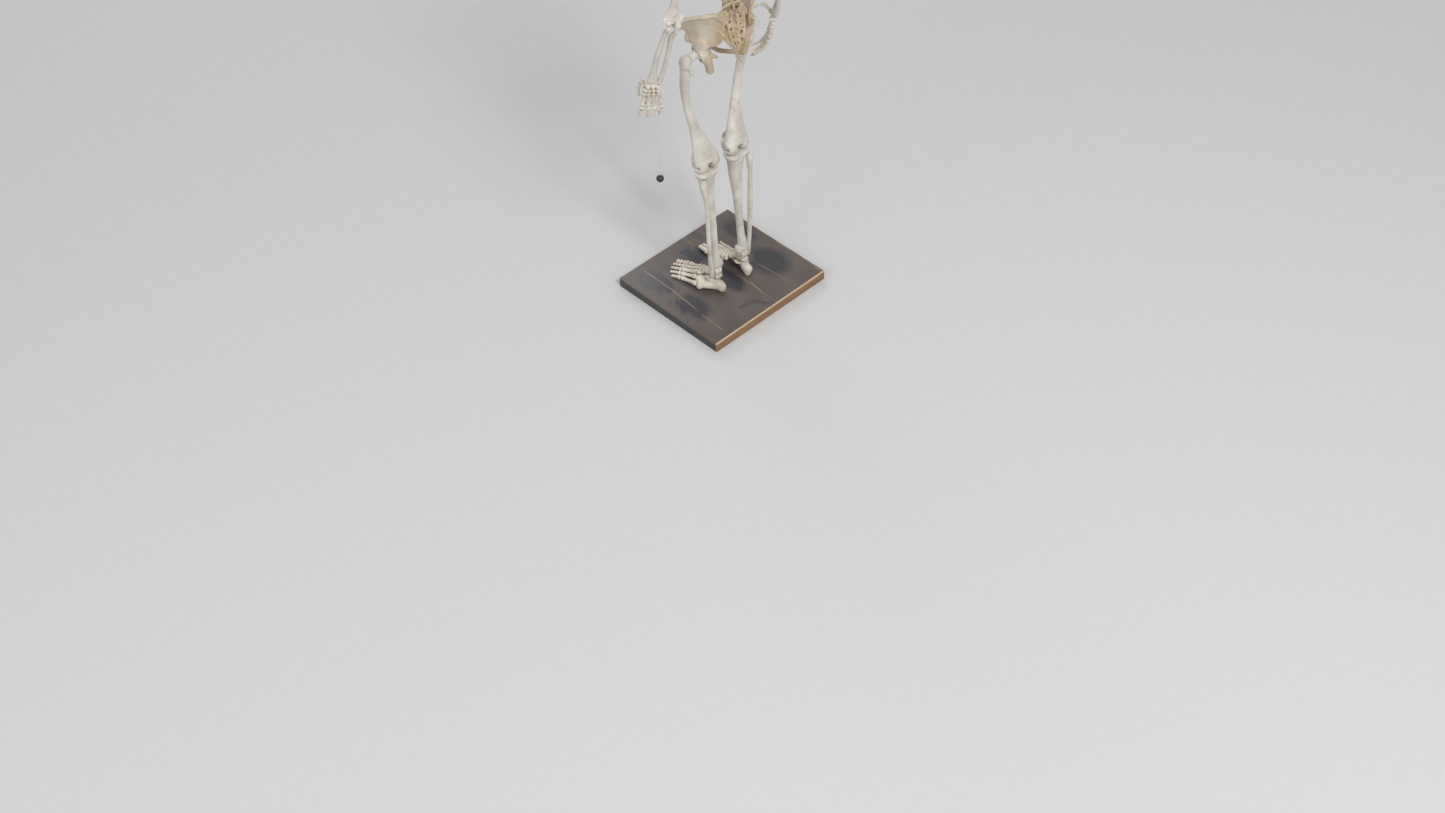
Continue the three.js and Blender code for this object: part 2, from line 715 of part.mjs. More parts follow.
function palmBody({ tilt, thumb }) {
  const [cp, cd] = tilted(tilt, 20);
  const middle = armPoint(WRIST, 2, cp, cd);
  const block = limb(
    [
      armStation(WRIST, [2, 1, 7], 21, 9),
      armStation(middle, [0, 0, 0], 28, 10),
      armStation(WRIST, [3, tilted(tilt, CARPUS_END + 4)[0], tilted(tilt, CARPUS_END + 4)[1]], 27, 9),
    ],
    { side: radial },
  );
  const bones = FINGERS.map(([, across, reach]) => {
    const [p0, d0] = tilted(tilt, CARPUS_END);
    const [p1, d1] = tilted(tilt, (CARPUS_END + reach) / 2);
    const [p2, d2] = tilted(tilt, reach - 5);
    return limb(
      [
        armStation(WRIST, [across * 0.72 + 1, p0, d0], 8, 8),
        armStation(WRIST, [across * 0.85, p1 - 2, d1], 6.4, 6.2),
        armStation(WRIST, [across, p2, d2], 7.8, 8),
      ],
      { side: radial },
    );
  });
  const thumbSeat = ball(armPoint(WRIST, thumb[0][0] - 6, thumb[0][1] - 1, thumb[0][2]), [7, 7, 7], {
    rounds: 8,
  });
  return join(block, bones, thumbSeat);
}

// The joints of a finger from the knuckle to the tip, as [thumbward, palmward, down] from the wrist.
function fingerJoints({ tilt, bend }, [, across, reach, splay, lengths]) {
  const joints = [[across, ...tilted(tilt, reach + 4)]];
  lengths.forEach((length, k) => {
    const angle = THREE.MathUtils.degToRad(bend[k]);
    const [r, p, d] = joints[k];
    joints.push([r + splay * length, p + length * Math.sin(angle), d + length * Math.cos(angle)]);
  });
  return joints;
}
const fingertip = (set, finger) => armPoint(WRIST, ...fingerJoints(set, finger)[3]);

function fingerBody(set, finger) {
  const sizes = [[7.2, 7], [6, 5.5], [5.6, 5], [4.6, 3.8]];
  const stations = [];
  fingerJoints(set, finger).forEach((place, k, joints) => {
    if (k > 0) {
      const middle = place.map((value, j) => (value + joints[k - 1][j]) / 2);
      stations.push(armStation(WRIST, middle, 4.5, 4.2));
    }
    stations.push(armStation(WRIST, place, ...sizes[k]));
  });
  return limb(stations, { side: radial });
}

function thumbBody({ thumb }) {
  const size = [8, 7, 6.5, 5.4];
  const stations = [];
  thumb.forEach((place, k) => {
    if (k > 0) {
      const mid = place.map((value, j) => (value + thumb[k - 1][j]) / 2);
      stations.push(armStation(WRIST, mid, 5.4, 5));
    }
    stations.push(armStation(WRIST, place, size[k], size[k] * 0.9));
  });
  return limb(stations, { side: Z_AXIS });
}

function addArm(s, side) {
  const set = HANDS[side];
  const ulna = ulnaBody();
  const palm = palmBody(set);
  const wristRoom = grown(palm, 1.5);
  const thumb = thumbBody(set);
  const bolt = join(
    bar([134, SHOULDER[1], SHOULDER[2]], [186, SHOULDER[1], SHOULDER[2]], PIN_R),
    bar([132, SHOULDER[1], SHOULDER[2]], [135, SHOULDER[1], SHOULDER[2]], 6),
  );
  const humerus = humerusBody();
  const scapula = cut(scapulaBody(), ball(SHOULDER, [25, 25, 25]), bar([120, 12, 1430], [172, 12, 1430], BORE_R));
  add(`${side}_clavicle`, mirrored(s, cut(clavicleBody(), grown(scapula, 1))), bone);
  add(`${side}_scapula`, mirrored(s, scapula), bone);
  add(`${side}_shoulder_bolt`, mirrored(s, bolt), steel);
  add(`${side}_humerus`, mirrored(s, humerus), bone);
  add(`${side}_ulna`, mirrored(s, cut(ulna, wristRoom)), bone);
  add(`${side}_radius`, mirrored(s, cut(radiusBody(ulna), wristRoom)), bone);
  add(`${side}_palm`, mirrored(s, cut(palm, grown(thumb, 1))), bone);
  add(`${side}_thumb`, mirrored(s, thumb), bone);
  const palmRoom = grown(palm, 1);
  for (const finger of FINGERS) {
    add(`${side}_${finger[0]}_finger`, mirrored(s, cut(fingerBody(set, finger), palmRoom)), bone);
  }
}

// ---------------------------------------------------------------- skull
const inSkull = ([x, y, z]) => [SKULL[0] + x, SKULL[1] + y, SKULL[2] + z];
const skullBall = (centre, size, options) => ball(inSkull(centre), size, options);
const skullLimb = (stations, options) =>
  limb(stations.map(([x, y, z, a, b]) => [...inSkull([x, y, z]), a, b]), options);
const CAP_CUT = 84; // height of the saw cut above the skull's rest

function vault(inset) {
  const fine = { rounds: 14, rings: 8 };
  const dome = skullBall([0, 6, 66], [72 - inset, 90 - inset, 66 - inset], fine);
  const brow = skullBall([0, -30, 58], [54 - inset, 52 - inset, 42 - inset], { rounds: 10, rings: 6 });
  return join(dome, brow);
}

function craniumBody(rod) {
  const shell = vault(0);
  const floorPlate = skullBall([0, 8, 20], [56, 62, 22], { rounds: 10 });
  const face = [
    skullBall([0, -62, 30], [34, 22, 34]),
    skullBall([0, -64, 0], [25, 20, 18]),
    skullBall([38, -60, 18], [15, 14, 14]),
    skullBall([-38, -60, 18], [15, 14, 14]),
    skullLimb([[0, -78, 44, 6, 5], [0, -90, 28, 5, 4]]),
  ];
  const arches = [1, -1].map((s) =>
    skullLimb(sided(s, [[50, -52, 20, 6, 4], [64, -30, 20, 5, 3], [64, -8, 18, 6, 3], [56, 4, 22, 7, 5]]), {
      side: Z_AXIS,
      rounds: 6,
    }),
  );
  const mastoids = [1, -1].map((s) => skullBall([s * 50, 27, 4], [10, 12, 16]));
  const solidHead = join(shell, floorPlate, face, arches, mastoids);
  const orbits = [1, -1].map((s) =>
    skullLimb(sided(s, [[33, -100, 37, 20, 17], [22, -44, 38, 8, 8]]), { rounds: 10, domed: false }),
  );
  const nose = skullLimb([[0, -100, 16, 12, 15], [0, -62, 18, 8, 10]], { rounds: 8, domed: false });
  const inside = cut(vault(6), box(inSkull([-90, -120, -10]), inSkull([90, 120, 26])));
  const cap = box(inSkull([-120, -160, CAP_CUT - 0.3]), inSkull([120, 160, 200]));
  return cut(solidHead, orbits, nose, inside, cap, grown(rod, 1));
}

function skullCapBody() {
  const shell = cut(vault(0), vault(6));
  return cut(shell, box(inSkull([-120, -160, -60]), inSkull([120, 160, CAP_CUT + 0.3])));
}

function mandibleBody() {
  const half = [
    [50, 1, 4, 5, 5],
    [48, -3, -12, 12, 5],
    [45, -13, -34, 13, 5],
    [36, -36, -44, 12, 6],
    [22, -62, -46, 12, 7],
  ];
  const other = sided(-1, half).reverse();
  const jaw = skullLimb([...half, [0, -74, -46, 12, 7], ...other], {
    side: new THREE.Vector3(0.02, 0.2, 1),
    rounds: 8,
  });
  return jaw;
}

// ---------------------------------------------------------------- base
function baseBodies() {
  const { width, depth, board, stone: thick, trim } = BASE;
  const [x, y] = [width / 2, depth / 2];
  const holes = [1, -1].map((s) => bar([s * HEEL_BOLT[0], HEEL_BOLT[1], -5], [s * HEEL_BOLT[0], HEEL_BOLT[1], 60], BORE_R));
  const sinks = [1, -1].map((s) => bar([s * HEEL_BOLT[0], HEEL_BOLT[1], -5], [s * HEEL_BOLT[0], HEEL_BOLT[1], 7], 9));
  const slab = cut(box([-x, -y, 0], [x, y - trim, board - 0.3]), holes, sinks);
  const top = cut(box([-x, -y, board], [x, y - trim, board + thick]), holes);
  const strip = box([-x, y - trim + 0.3, 0], [x, y, board + thick]);
  return { slab, top, strip };
}

function footBolt(s) {
  const [x, y] = [s * HEEL_BOLT[0], HEEL_BOLT[1]];
  return join(bar([x, y, 3], [x, y, FLOOR + 22], PIN_R), bar([x, y, 1], [x, y, 6], 7, 6));
}

// ---------------------------------------------------------------- plumb bob
const BOB_CLEARANCE = 5;
const BALL_R = 12.5;
const BALL_Z = 472;
// A dark ball on a fine line, hung under a fingertip.
function plumbBody([x, y, z]) {
  return join(
    ball([x, y, BALL_Z], [BALL_R, BALL_R, BALL_R], { rounds: 12, rings: 8 }),
    bar([x, y, BALL_Z], [x, y, z - BOB_CLEARANCE], 0.6, 6),
  );
}

// ---------------------------------------------------------------- assembly
const { slab, top, strip } = baseBodies();
add("base_board", slab, darkBoard, model);
add("stone_top", top, stone, model);
add("rear_edge_trim", strip, woodTrim, model);
add("left_foot_bolt", footBolt(1), steel, model);
add("right_foot_bolt", footBolt(-1), steel, model);
addLeg(1, "left", 2);
addLeg(-1, "right", -5);

const rod = rodBody();
const rodRoom = grown(rod, 1);
const lumbar = spineRegion(REGIONS.lumbar);
const thoracic = join(
  spineRegion(REGIONS.thoracic),
  [10, 11].flatMap((i) => [floatingRib(i), floatingRib(i).mirror([1, 0, 0])]),
);
const cervical = spineRegion(REGIONS.cervical);
const sacrum = cut(sacrumBody(), grown(lumbar, 1), rodRoom);
const hipBone = cut(hipBoneBody(), grown(lumbar, 1));
const disc = cut(ball([0, -59, 877], [9, 9, 19]), grown(hipBone), grown(hipBone.mirror([1, 0, 0])));
for (const [s, side] of [[1, "left"], [-1, "right"]]) {
  add(`${side}_hip_bone`, mirrored(s, hipBone), agedBone);
  add(`${side}_hip_bolt`, bar([s * 58, 0, HIP[2]], [s * 100, 0, HIP[2]], PIN_R), steel);
}
add("sacrum", sacrum, agedBone);
add("pubic_disc", disc, cartilage);
add("spine_rod", rod, steel);
add("lumbar_spine", cut(lumbar, rodRoom), agedBone);
const ribCage = ribCageBody();
add("thoracic_spine", cut(thoracic, rodRoom), bone);
add("cervical_spine", cut(cervical, rodRoom), bone);
add("rib_cage", ribCage, bone);
addArm(1, "left");
addArm(-1, "right");
add("cranium", craniumBody(rod), bone);
add("skull_cap", skullCapBody(), bone);
add("mandible", mandibleBody(), bone);
add("plumb_bob", plumbBody(fingertip(HANDS.left, FINGERS[2])), blackRubber);

export default model;
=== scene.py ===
"""Human skeleton teaching model on a stone-topped board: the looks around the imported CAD.

Every bone is carved as a signed distance field in millimetres, measured from the top of the stone
(X to the figure's left, Y to its back, Z up), then meshed and laid over its CAD node.
"""

import math

import bmesh
import bpy
import numpy as np
import openvdb
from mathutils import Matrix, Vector


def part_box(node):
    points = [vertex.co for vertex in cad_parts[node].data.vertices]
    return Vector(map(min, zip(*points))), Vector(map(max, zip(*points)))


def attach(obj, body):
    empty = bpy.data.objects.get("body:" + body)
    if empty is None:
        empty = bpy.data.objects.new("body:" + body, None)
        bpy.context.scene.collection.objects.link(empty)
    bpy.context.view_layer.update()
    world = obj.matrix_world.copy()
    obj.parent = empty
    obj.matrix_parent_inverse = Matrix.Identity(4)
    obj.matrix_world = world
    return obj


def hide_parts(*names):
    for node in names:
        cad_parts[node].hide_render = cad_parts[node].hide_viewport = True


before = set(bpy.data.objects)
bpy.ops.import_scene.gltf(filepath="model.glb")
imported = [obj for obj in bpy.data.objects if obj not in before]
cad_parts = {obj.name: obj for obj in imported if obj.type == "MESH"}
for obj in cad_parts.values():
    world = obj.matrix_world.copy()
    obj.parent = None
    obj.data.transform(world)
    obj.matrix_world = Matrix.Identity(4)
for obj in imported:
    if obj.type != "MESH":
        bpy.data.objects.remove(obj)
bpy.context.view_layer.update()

FLOOR = 34.0
HIP = (90, 0, 922)
KNEE = (65, -5, 497)
ANKLE = (60, 32, 76)
SHOULDER = (182, 12, 1430)
ELBOW = (240, 44, 1119)
WRIST = (255, -30, 878)
SKULL = (0, 12, 1634)
X, Y, Z = (1, 0, 0), (0, 1, 0), (0, 0, 1)
FAR = 14.0


# ---------------------------------------------------------------- clay: carving bones on a grid
def curve(points, spacing):
    """Points of a centripetal Catmull-Rom curve through rows of numbers, about spacing apart."""
    p = np.array(points, float)
    if len(p) == 2:
        n = max(2, int(np.linalg.norm(p[1, :3] - p[0, :3]) / spacing) + 1)
        return p[0] + (p[1] - p[0]) * np.linspace(0, 1, n)[:, None]
    p = np.vstack([2 * p[0] - p[1], p, 2 * p[-1] - p[-2]])
    knots = np.concatenate([[0], np.cumsum(np.sqrt(np.linalg.norm(np.diff(p[:, :3], axis=0), axis=1) + 1e-9))])
    out = []
    for i in range(1, len(p) - 2):
        n = max(2, int(np.linalg.norm(p[i + 1, :3] - p[i, :3]) / spacing) + 1)
        t = np.linspace(knots[i], knots[i + 1], n, endpoint=i == len(p) - 3)[:, None]
        t0, t1, t2, t3 = knots[i - 1 : i + 3]
        a = p[i - 1] * (t1 - t) / (t1 - t0) + p[i] * (t - t0) / (t1 - t0)
        b = p[i] * (t2 - t) / (t2 - t1) + p[i + 1] * (t - t1) / (t2 - t1)
        c = p[i + 1] * (t3 - t) / (t3 - t2) + p[i + 2] * (t - t2) / (t3 - t2)
        d = a * (t2 - t) / (t2 - t0) + b * (t - t0) / (t2 - t0)
        e = b * (t3 - t) / (t3 - t1) + c * (t - t1) / (t3 - t1)
        out.append(d * (t2 - t) / (t2 - t1) + e * (t - t1) / (t2 - t1))
    return np.vstack(out)


class Clay:
    """A block of space with the signed distance to the bone in it, negative inside."""

    def __init__(self, lo, hi, step):
        self.step = step * 1.0
        self.lo = np.array(lo, float)
        self.n = np.ceil((np.array(hi, float) - self.lo) / self.step).astype(int) + 1
        self.d = np.full(self.n, FAR, np.float32)

    def window(self, lo, hi):
        a = np.clip(np.floor((np.array(lo) - self.lo) / self.step).astype(int), 0, self.n - 1)
        b = np.clip(np.ceil((np.array(hi) - self.lo) / self.step).astype(int) + 1, a + 1, self.n)
        return a, b

    def axes(self, a, b):
        x, y, z = (self.lo[i] + self.step * np.arange(a[i], b[i], dtype=np.float32) for i in range(3))
        return x[:, None, None], y[None, :, None], z[None, None, :]

    def beads(self, centres, frames, radii, blend):
        """The union of many ellipsoids, with the window it fills."""
        reach = radii.max(1) + blend + 2 * self.step
        a, b = self.window((centres - reach[:, None]).min(0), (centres + reach[:, None]).max(0))
        out = np.full(b - a, FAR, np.float32)
        for c, f, r, m in zip(centres, frames, radii, reach):
            i, j = self.window(c - m, c + m)
            if (i >= b).any() or (j <= a).any():
                continue
            x, y, z = self.axes(i, j)
            x, y, z = x - c[0], y - c[1], z - c[2]
            k0 = np.zeros(j - i, np.float32)
            k1 = np.full(j - i, 1e-12, np.float32)
            for axis, radius in zip(f, r):
                q = (x * axis[0] + y * axis[1] + z * axis[2]) ** 2
                k0 += q / radius**2
                k1 += q / radius**4
            d = (k0 - np.sqrt(k0)) / np.sqrt(k1)
            where = tuple(slice(*s) for s in zip(i - a, j - a))
            out[where] = np.minimum(out[where], np.maximum(d, -r.min()))
        return a, b, out

    def mix(self, part, blend, cut):
        a, b, new = part
        where = tuple(slice(*s) for s in zip(a, b))
        old = self.d[where]
        if cut:
            new = -new
            h = np.clip(0.5 - 0.5 * (new - old) / blend, 0, 1)
            mixed = new * (1 - h) + old * h + blend * h * (1 - h)
            self.d[where] = np.where(-new >= FAR, old, mixed)
            return
        h = np.clip(0.5 + 0.5 * (new - old) / blend, 0, 1)
        mixed = new * (1 - h) + old * h - blend * h * (1 - h)
        self.d[where] = np.where(np.maximum(new, old) >= FAR, np.minimum(new, old), mixed)

    def limb(self, stations, side=X, blend=3.0, cut=False, flat=False):
        """A bent shaft. A station is [x, y, z, half width towards side, half width square to it]."""
        least = min(min(s[3], s[4]) for s in stations)
        row = curve(stations, max(0.9, 0.75 * math.sqrt(max(least, 0.5))))
        centres, sizes = row[:, :3], np.maximum(row[:, 3:5], 0.4)
        along = np.gradient(centres, axis=0)
        along /= np.linalg.norm(along, axis=1)[:, None] + 1e-9
        across = np.array(side, float) - (along @ np.array(side, float))[:, None] * along
        across /= np.linalg.norm(across, axis=1)[:, None] + 1e-9
        square = np.cross(along, across)
        run = np.concatenate([[0], np.cumsum(np.linalg.norm(np.diff(centres, axis=0), axis=1))])
        thin = sizes.min(1)
        end = np.minimum(run, run[-1] - run)
        lengthwise = np.minimum(thin, end + (1.2 if flat else 0.7 * thin))
        radii = np.column_stack([sizes, np.maximum(lengthwise, 1.0)])
        frames = np.stack([across, square, along], 1)
        self.mix(self.beads(centres, frames, radii, blend), blend, cut)
        return self

    def ball(self, centre, radii, blend=3.0, cut=False, tilt=None):
        frame_ = np.eye(3) if tilt is None else np.array(tilt, float)
        part = self.beads(np.array([centre], float), frame_[None], np.array([radii], float), blend)
        self.mix(part, blend, cut)
        return self

    def sheet(self, rows, blend=3.0, spacing=2.2):
        """A thin plate through rows of points [x, y, z, half thickness]."""
        lines = [curve(r, spacing) for r in rows]
        count = max(len(line) for line in lines)
        lines = [
            np.array([np.interp(np.linspace(0, 1, count), np.linspace(0, 1, len(line)), line[:, k]) for k in range(4)]).T
            for line in lines
        ]
        points = np.vstack([curve([line[i] for line in lines], spacing) for i in range(count)])
        radii = np.repeat(np.maximum(points[:, 3:4], 0.8), 3, 1)
        frames = np.repeat(np.eye(3)[None], len(points), 0)
        self.mix(self.beads(points[:, :3], frames, radii, blend), blend, False)
        return self

    def keep(self, axis, low=None, high=None, blend=1.0):
        """Cuts the block off square below low or above high along an axis."""
        a, b = np.zeros(3, int), self.n
        t = self.axes(a, b)[axis]
        for limit, sign in ((low, -1), (high, 1)):
            if limit is not None:
                plane = sign * (t - limit)
                h = np.clip(0.5 + 0.5 * (plane - self.d) / blend, 0, 1)
                self.d = (self.d * (1 - h) + plane * h + blend * h * (1 - h)).astype(np.float32)
        return self

    def rough(self, amount, size, seed=1):
        """Uneven growth: smooth noise of a given size added to the surface."""
        rng = np.random.RandomState(seed)
        coarse = np.maximum((self.n * self.step / size).astype(int) + 3, 4)
        noise = rng.uniform(-1, 1, coarse).astype(np.float32)
        for axis in range(3):
            t = np.linspace(0, coarse[axis] - 1.001, self.n[axis])
            i = t.astype(int)
            w = (t - i).astype(np.float32)
            w = w * w * (3 - 2 * w)
            shape = [1, 1, 1]
            shape[axis] = -1
            w = w.reshape(shape)
            noise = np.take(noise, i, axis) * (1 - w) + np.take(noise, i + 1, axis) * w
        near = np.abs(self.d) < 5
        self.d[near] += amount * noise[near]
        return self

    def hollows(self, points, reach):
        """How sunken the surface is near each point: 0 on a ridge, 1 in a crease."""
        solid = np.clip(0.5 - self.d / (2 * self.step), 0, 1)
        n = max(1, int(round(reach / self.step)))
        for axis in range(3):
            total = np.cumsum(np.insert(solid, 0, 0, axis), axis, dtype=np.float32)
            size = solid.shape[axis]
            hi = np.minimum(np.arange(size) + n + 1, size)
            lo = np.maximum(np.arange(size) - n, 0)
            solid = (np.take(total, hi, axis) - np.take(total, lo, axis)) / (2 * n + 1)
        i = np.clip(np.round(points).astype(int), 0, self.n - 1)
        return solid[i[:, 0], i[:, 1], i[:, 2]]

    def mesh(self, simplify=0.012):
        """(points in mm, triangles, quads, hollows) of the surface."""
        edge = self.d
        for axis in range(3):
            for end in (0, -1):
                s = [slice(None)] * 3
                s[axis] = end
                edge[tuple(s)] = np.maximum(edge[tuple(s)], 1.0)
        grid = openvdb.FloatGrid(3.0)
        grid.copyFromArray(np.clip(self.d, -3, 3))
        points, tris, quads = grid.convertToPolygons(isovalue=0.0, adaptivity=simplify)
        sunken = self.hollows(points, 6.0)
        return points * self.step + self.lo, tris, quads, sunken


# ---------------------------------------------------------------- from clay to Blender pieces
def new_mesh(name, points, faces):
    """A Blender mesh in metres from points in mm above the stone and arrays of tris and quads."""
    mesh = bpy.data.meshes.new(name)
    place = np.array(points, float)
    place[:, 2] += FLOOR
    mesh.vertices.add(len(place))
    mesh.vertices.foreach_set("co", (place / 1000).astype(np.float32).ravel())
    sizes = np.concatenate([np.full(len(f), f.shape[1]) for f in faces if len(f)])
    loops = np.concatenate([np.asarray(f).ravel() for f in faces if len(f)])
    mesh.loops.add(len(loops))
    mesh.loops.foreach_set("vertex_index", loops.astype(np.int32))
    mesh.polygons.add(len(sizes))
    mesh.polygons.foreach_set("loop_start", np.concatenate([[0], np.cumsum(sizes)[:-1]]).astype(np.int32))
    mesh.polygons.foreach_set("use_smooth", np.ones(len(sizes), bool))
    mesh.update(calc_edges=True)
    mesh.validate()
    return mesh


def place(name, made, body, nodes, material, slot, mirror=False, move=None):
    """Adds one piece: its mesh, material, body and the CAD nodes it stands for; the finish slot argument is not used.
    """
    points, tris, quads, sunken = made
    points = np.array(points, float)
    if move is not None:
        points = move(points)
    if mirror:
        points = points * [-1, 1, 1]
        tris, quads = tris[:, ::-1], quads[:, ::-1]
    mesh = new_mesh(name, points, (tris, quads))
    attribute = mesh.attributes.new("hollow", "FLOAT", "POINT")
    attribute.data.foreach_set("value", np.asarray(sunken, np.float32))
    piece = bpy.data.objects.new(name, mesh)
    bpy.context.scene.collection.objects.link(piece)
    mesh.materials.append(material)
    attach(piece, body)
    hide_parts(*nodes)
    return piece


def both(name, make, body, node, material, slot="bone"):
    """The left piece and its mirror image on the right."""
    made = make()
    for side, flip in (("left", False), ("right", True)):
        home = body if body in ("stand", "trunk", "skull") else f"{side}_{body}"
        place(f"{side}_{name}_cast", made, home, [f"{side}_{node}"], material, slot, flip)


# ---------------------------------------------------------------- materials
def colour(hex_, alpha=1.0):
    channels = [int(hex_[i : i + 2], 16) / 255 for i in (0, 2, 4)]
    return [c / 12.92 if c <= 0.04045 else ((c + 0.055) / 1.055) ** 2.4 for c in channels] + [alpha]


class Nodes:
    """Short hand for building a node material."""

    def __init__(self, name):
        self.material = bpy.data.materials.new(name)
        self.material.use_nodes = True
        self.tree = self.material.node_tree
        self.shader = self.tree.nodes["Principled BSDF"]

    def add(self, kind, inputs=None, **props):
        node = self.tree.nodes.new(kind)
        for key, value in props.items():
            setattr(node, key, value)
        for key, value in (inputs or {}).items():
            self.link(value, node.inputs[key])
        return node

    def link(self, value, socket):
        if isinstance(value, bpy.types.NodeSocket):
            self.tree.links.new(value, socket)
        else:
            socket.default_value = value

    def place(self):
        return self.add("ShaderNodeTexCoord").outputs["Object"]

    def noise(self, scale, detail=4.0, rough=0.55, vector=None, distortion=0.0):
        node = self.add(
            "ShaderNodeTexNoise",
            {"Vector": vector or self.place(), "Scale": scale, "Detail": detail, "Roughness": rough},
        )
        node.inputs["Distortion"].default_value = distortion
        return node.outputs["Fac"]

    def ramp(self, value, *stops):
        node = self.add("ShaderNodeValToRGB", {"Fac": value})
        ramp = node.color_ramp
        while len(ramp.elements) < len(stops):
            ramp.elements.new(0.5)
        for element, (at, rgba) in zip(ramp.elements, stops):
            element.position = at
            element.color = rgba if isinstance(rgba, (list, tuple)) else (rgba, rgba, rgba, 1)
        return node.outputs["Color"]

    def math(self, operation, a, b=0.0):
        node = self.add("ShaderNodeMath", operation=operation, use_clamp=operation != "SUBTRACT")
        self.link(a, node.inputs[0])
        self.link(b, node.inputs[1])
        return node.outputs[0]

    def mix(self, fac, a, b, kind="MIX"):
        node = self.add("ShaderNodeMix", data_type="RGBA", blend_type=kind)
        self.link(fac, node.inputs[0])
        self.link(a, node.inputs[6])
        self.link(b, node.inputs[7])
        return node.outputs[2]

    def bump(self, height, distance, strength=1.0):
        node = self.add("ShaderNodeBump", {"Height": height, "Distance": distance, "Strength": strength})
        self.link(node.outputs["Normal"], self.shader.inputs["Normal"])

    def set(self, **values):
        for key, value in values.items():
            self.link(value, self.shader.inputs[key.replace("_", " ")])
        return self.material


def bone_material(name, light, dark, stain_and_shade, share, seed, middle=None):
    """Aged resin bone: mottled ivory, brown in patches, dirtier towards the midline, with brown painted shade in its
    hollows and a pale painted highlight on its ridges.
    """
    m = Nodes(name)
    moved = m.add("ShaderNodeMapping", {"Vector": m.place(), "Location": (seed, seed * 0.7, -seed)}).outputs[0]
    mottle = m.noise(16, 4, 0.55, moved)
    patches = m.noise(26, 5, 0.62, moved, 0.5)
    streaks = m.add("ShaderNodeMapping", {"Vector": moved, "Scale": (1, 1, 0.12)}).outputs[0]
    grain = m.noise(260, 3, 0.6, streaks)
    hollow = m.add("ShaderNodeAttribute", attribute_name="hollow").outputs["Fac"]
    base = m.mix(m.ramp(mottle, (0.35, 0.0), (0.65, 1.0)), colour(dark), colour(light))
    base = m.mix(m.math("MULTIPLY", m.ramp(grain, (0.42, 0.0), (0.62, 1.0)), 0.22), base, colour(dark))
    patchy = m.ramp(patches, (0.66 - share, 0.0), (0.8 - share * 0.5, 1.0))
    if middle is not None:
        across = m.add("ShaderNodeSeparateXYZ", {"Vector": m.place()}).outputs["X"]
        away = m.math("ADD", m.math("ABSOLUTE", across), m.math("MULTIPLY", m.math("SUBTRACT", patches, 0.5), 0.05))
        near = m.add("ShaderNodeMapRange", {"Value": away, "From Min": middle[0], "From Max": middle[1], "To Min": 1.0, "To Max": 0.0}).outputs[0]
        patchy = m.math("MAXIMUM", m.math("MULTIPLY", near, 0.85), m.math("MULTIPLY", patchy, 0.5))
    # Painted shade in the hollows, in the stain colour that also fills the real stain patches.
    hollow_shade = m.ramp(hollow, (0.5, 0.0), (0.66, 1.0))
    base = m.mix(m.math("MAXIMUM", m.math("MULTIPLY", hollow_shade, 0.8), m.math("MULTIPLY", patchy, 0.7)), base, colour(stain_and_shade))
    # Painted shade: near-black brown deep in the creases.
    deep = m.ramp(hollow, (0.62, 0.0), (0.8, 1.0))
    base = m.mix(m.math("MULTIPLY", deep, 0.75), base, colour("45362a"))
    # Painted highlight: paler ivory on the ridges.
    ridge_highlight = m.ramp(hollow, (0.24, 1.0), (0.4, 0.0))
    base = m.mix(m.math("MULTIPLY", ridge_highlight, 0.25), base, colour("ddd8ce"))
    rough = m.math("ADD", m.math("MULTIPLY", mottle, 0.2), 0.45)
    pits = m.ramp(m.noise(700, 2, 0.5, moved), (0.3, 0.0), (0.45, 1.0))
    m.bump(m.math("ADD", m.math("MULTIPLY", grain, 0.5), m.math("MULTIPLY", pits, 0.5)), 0.0005, 0.3)
    return m.set(Base_Color=base, Roughness=rough)


# The third colour of each finish is its stain colour and also its painted shade in the hollows.
IVORY = bone_material("bone_ivory", "dbd7cf", "c1bbb1", "a68d66", 0.1, 3.1)
HIP_BONE = bone_material("bone_hip", "d2c8b8", "bbad95", "a08257", 0.16, 5.3, (0.06, 0.105))
STAINED = bone_material("bone_stained", "d3c9b4", "b59d74", "86643a", 0.24, 7.7)
HAND_BONE = bone_material("bone_small", "e0dbd0", "c6bdac", "927c5a", 0.1, 9.1)
GRISTLE = bone_material("cartilage_tan", "b7a27c", "9c8459", "7a6038", 0.3, 11.3)


def steel_material():
    m = Nodes("brushed_steel")
    brushed = m.noise(260, 3, 0.6, m.add("ShaderNodeMapping", {"Vector": m.place(), "Scale": (0.08, 1, 1)}).outputs[0])
    spots = m.noise(70, 4)
    tone = m.mix(m.ramp(spots, (0.45, 0.0), (0.75, 1.0)), colour("b9b8b3"), colour("86817a"))
    m.bump(brushed, 0.0002, 0.3)
    return m.set(Base_Color=tone, Metallic=1.0, Roughness=m.math("ADD", m.math("MULTIPLY", brushed, 0.25), 0.22))


def enamel_material():
    m = Nodes("tooth_enamel")
    tone = m.mix(m.ramp(m.noise(160, 3), (0.35, 0.0), (0.7, 1.0)), colour("e4dcc8"), colour("d2c5a6"))
    hollow = m.add("ShaderNodeAttribute", attribute_name="hollow").outputs["Fac"]
    # Painted shade: brown in the hollows between and around the teeth.
    tone = m.mix(m.ramp(hollow, (0.5, 0.0), (0.75, 1.0)), tone, colour("96794f"))
    m.bump(m.noise(500, 2), 0.0002, 0.2)
    return m.set(Base_Color=tone, Roughness=m.math("ADD", m.math("MULTIPLY", m.noise(90), 0.15), 0.25))


# Blue-black painted reflections in the polished stone: centre and half widths in metres.
DARK_REFLECTIONS = (
    (0.175, -0.11, 0.06, 0.09),
    (0.185, 0.035, 0.065, 0.1),
    (0.0, 0.03, 0.045, 0.1),
    (-0.155, 0.06, 0.075, 0.1),
    (0.01, -0.135, 0.075, 0.06),
    (-0.2, -0.12, 0.05, 0.09),
)


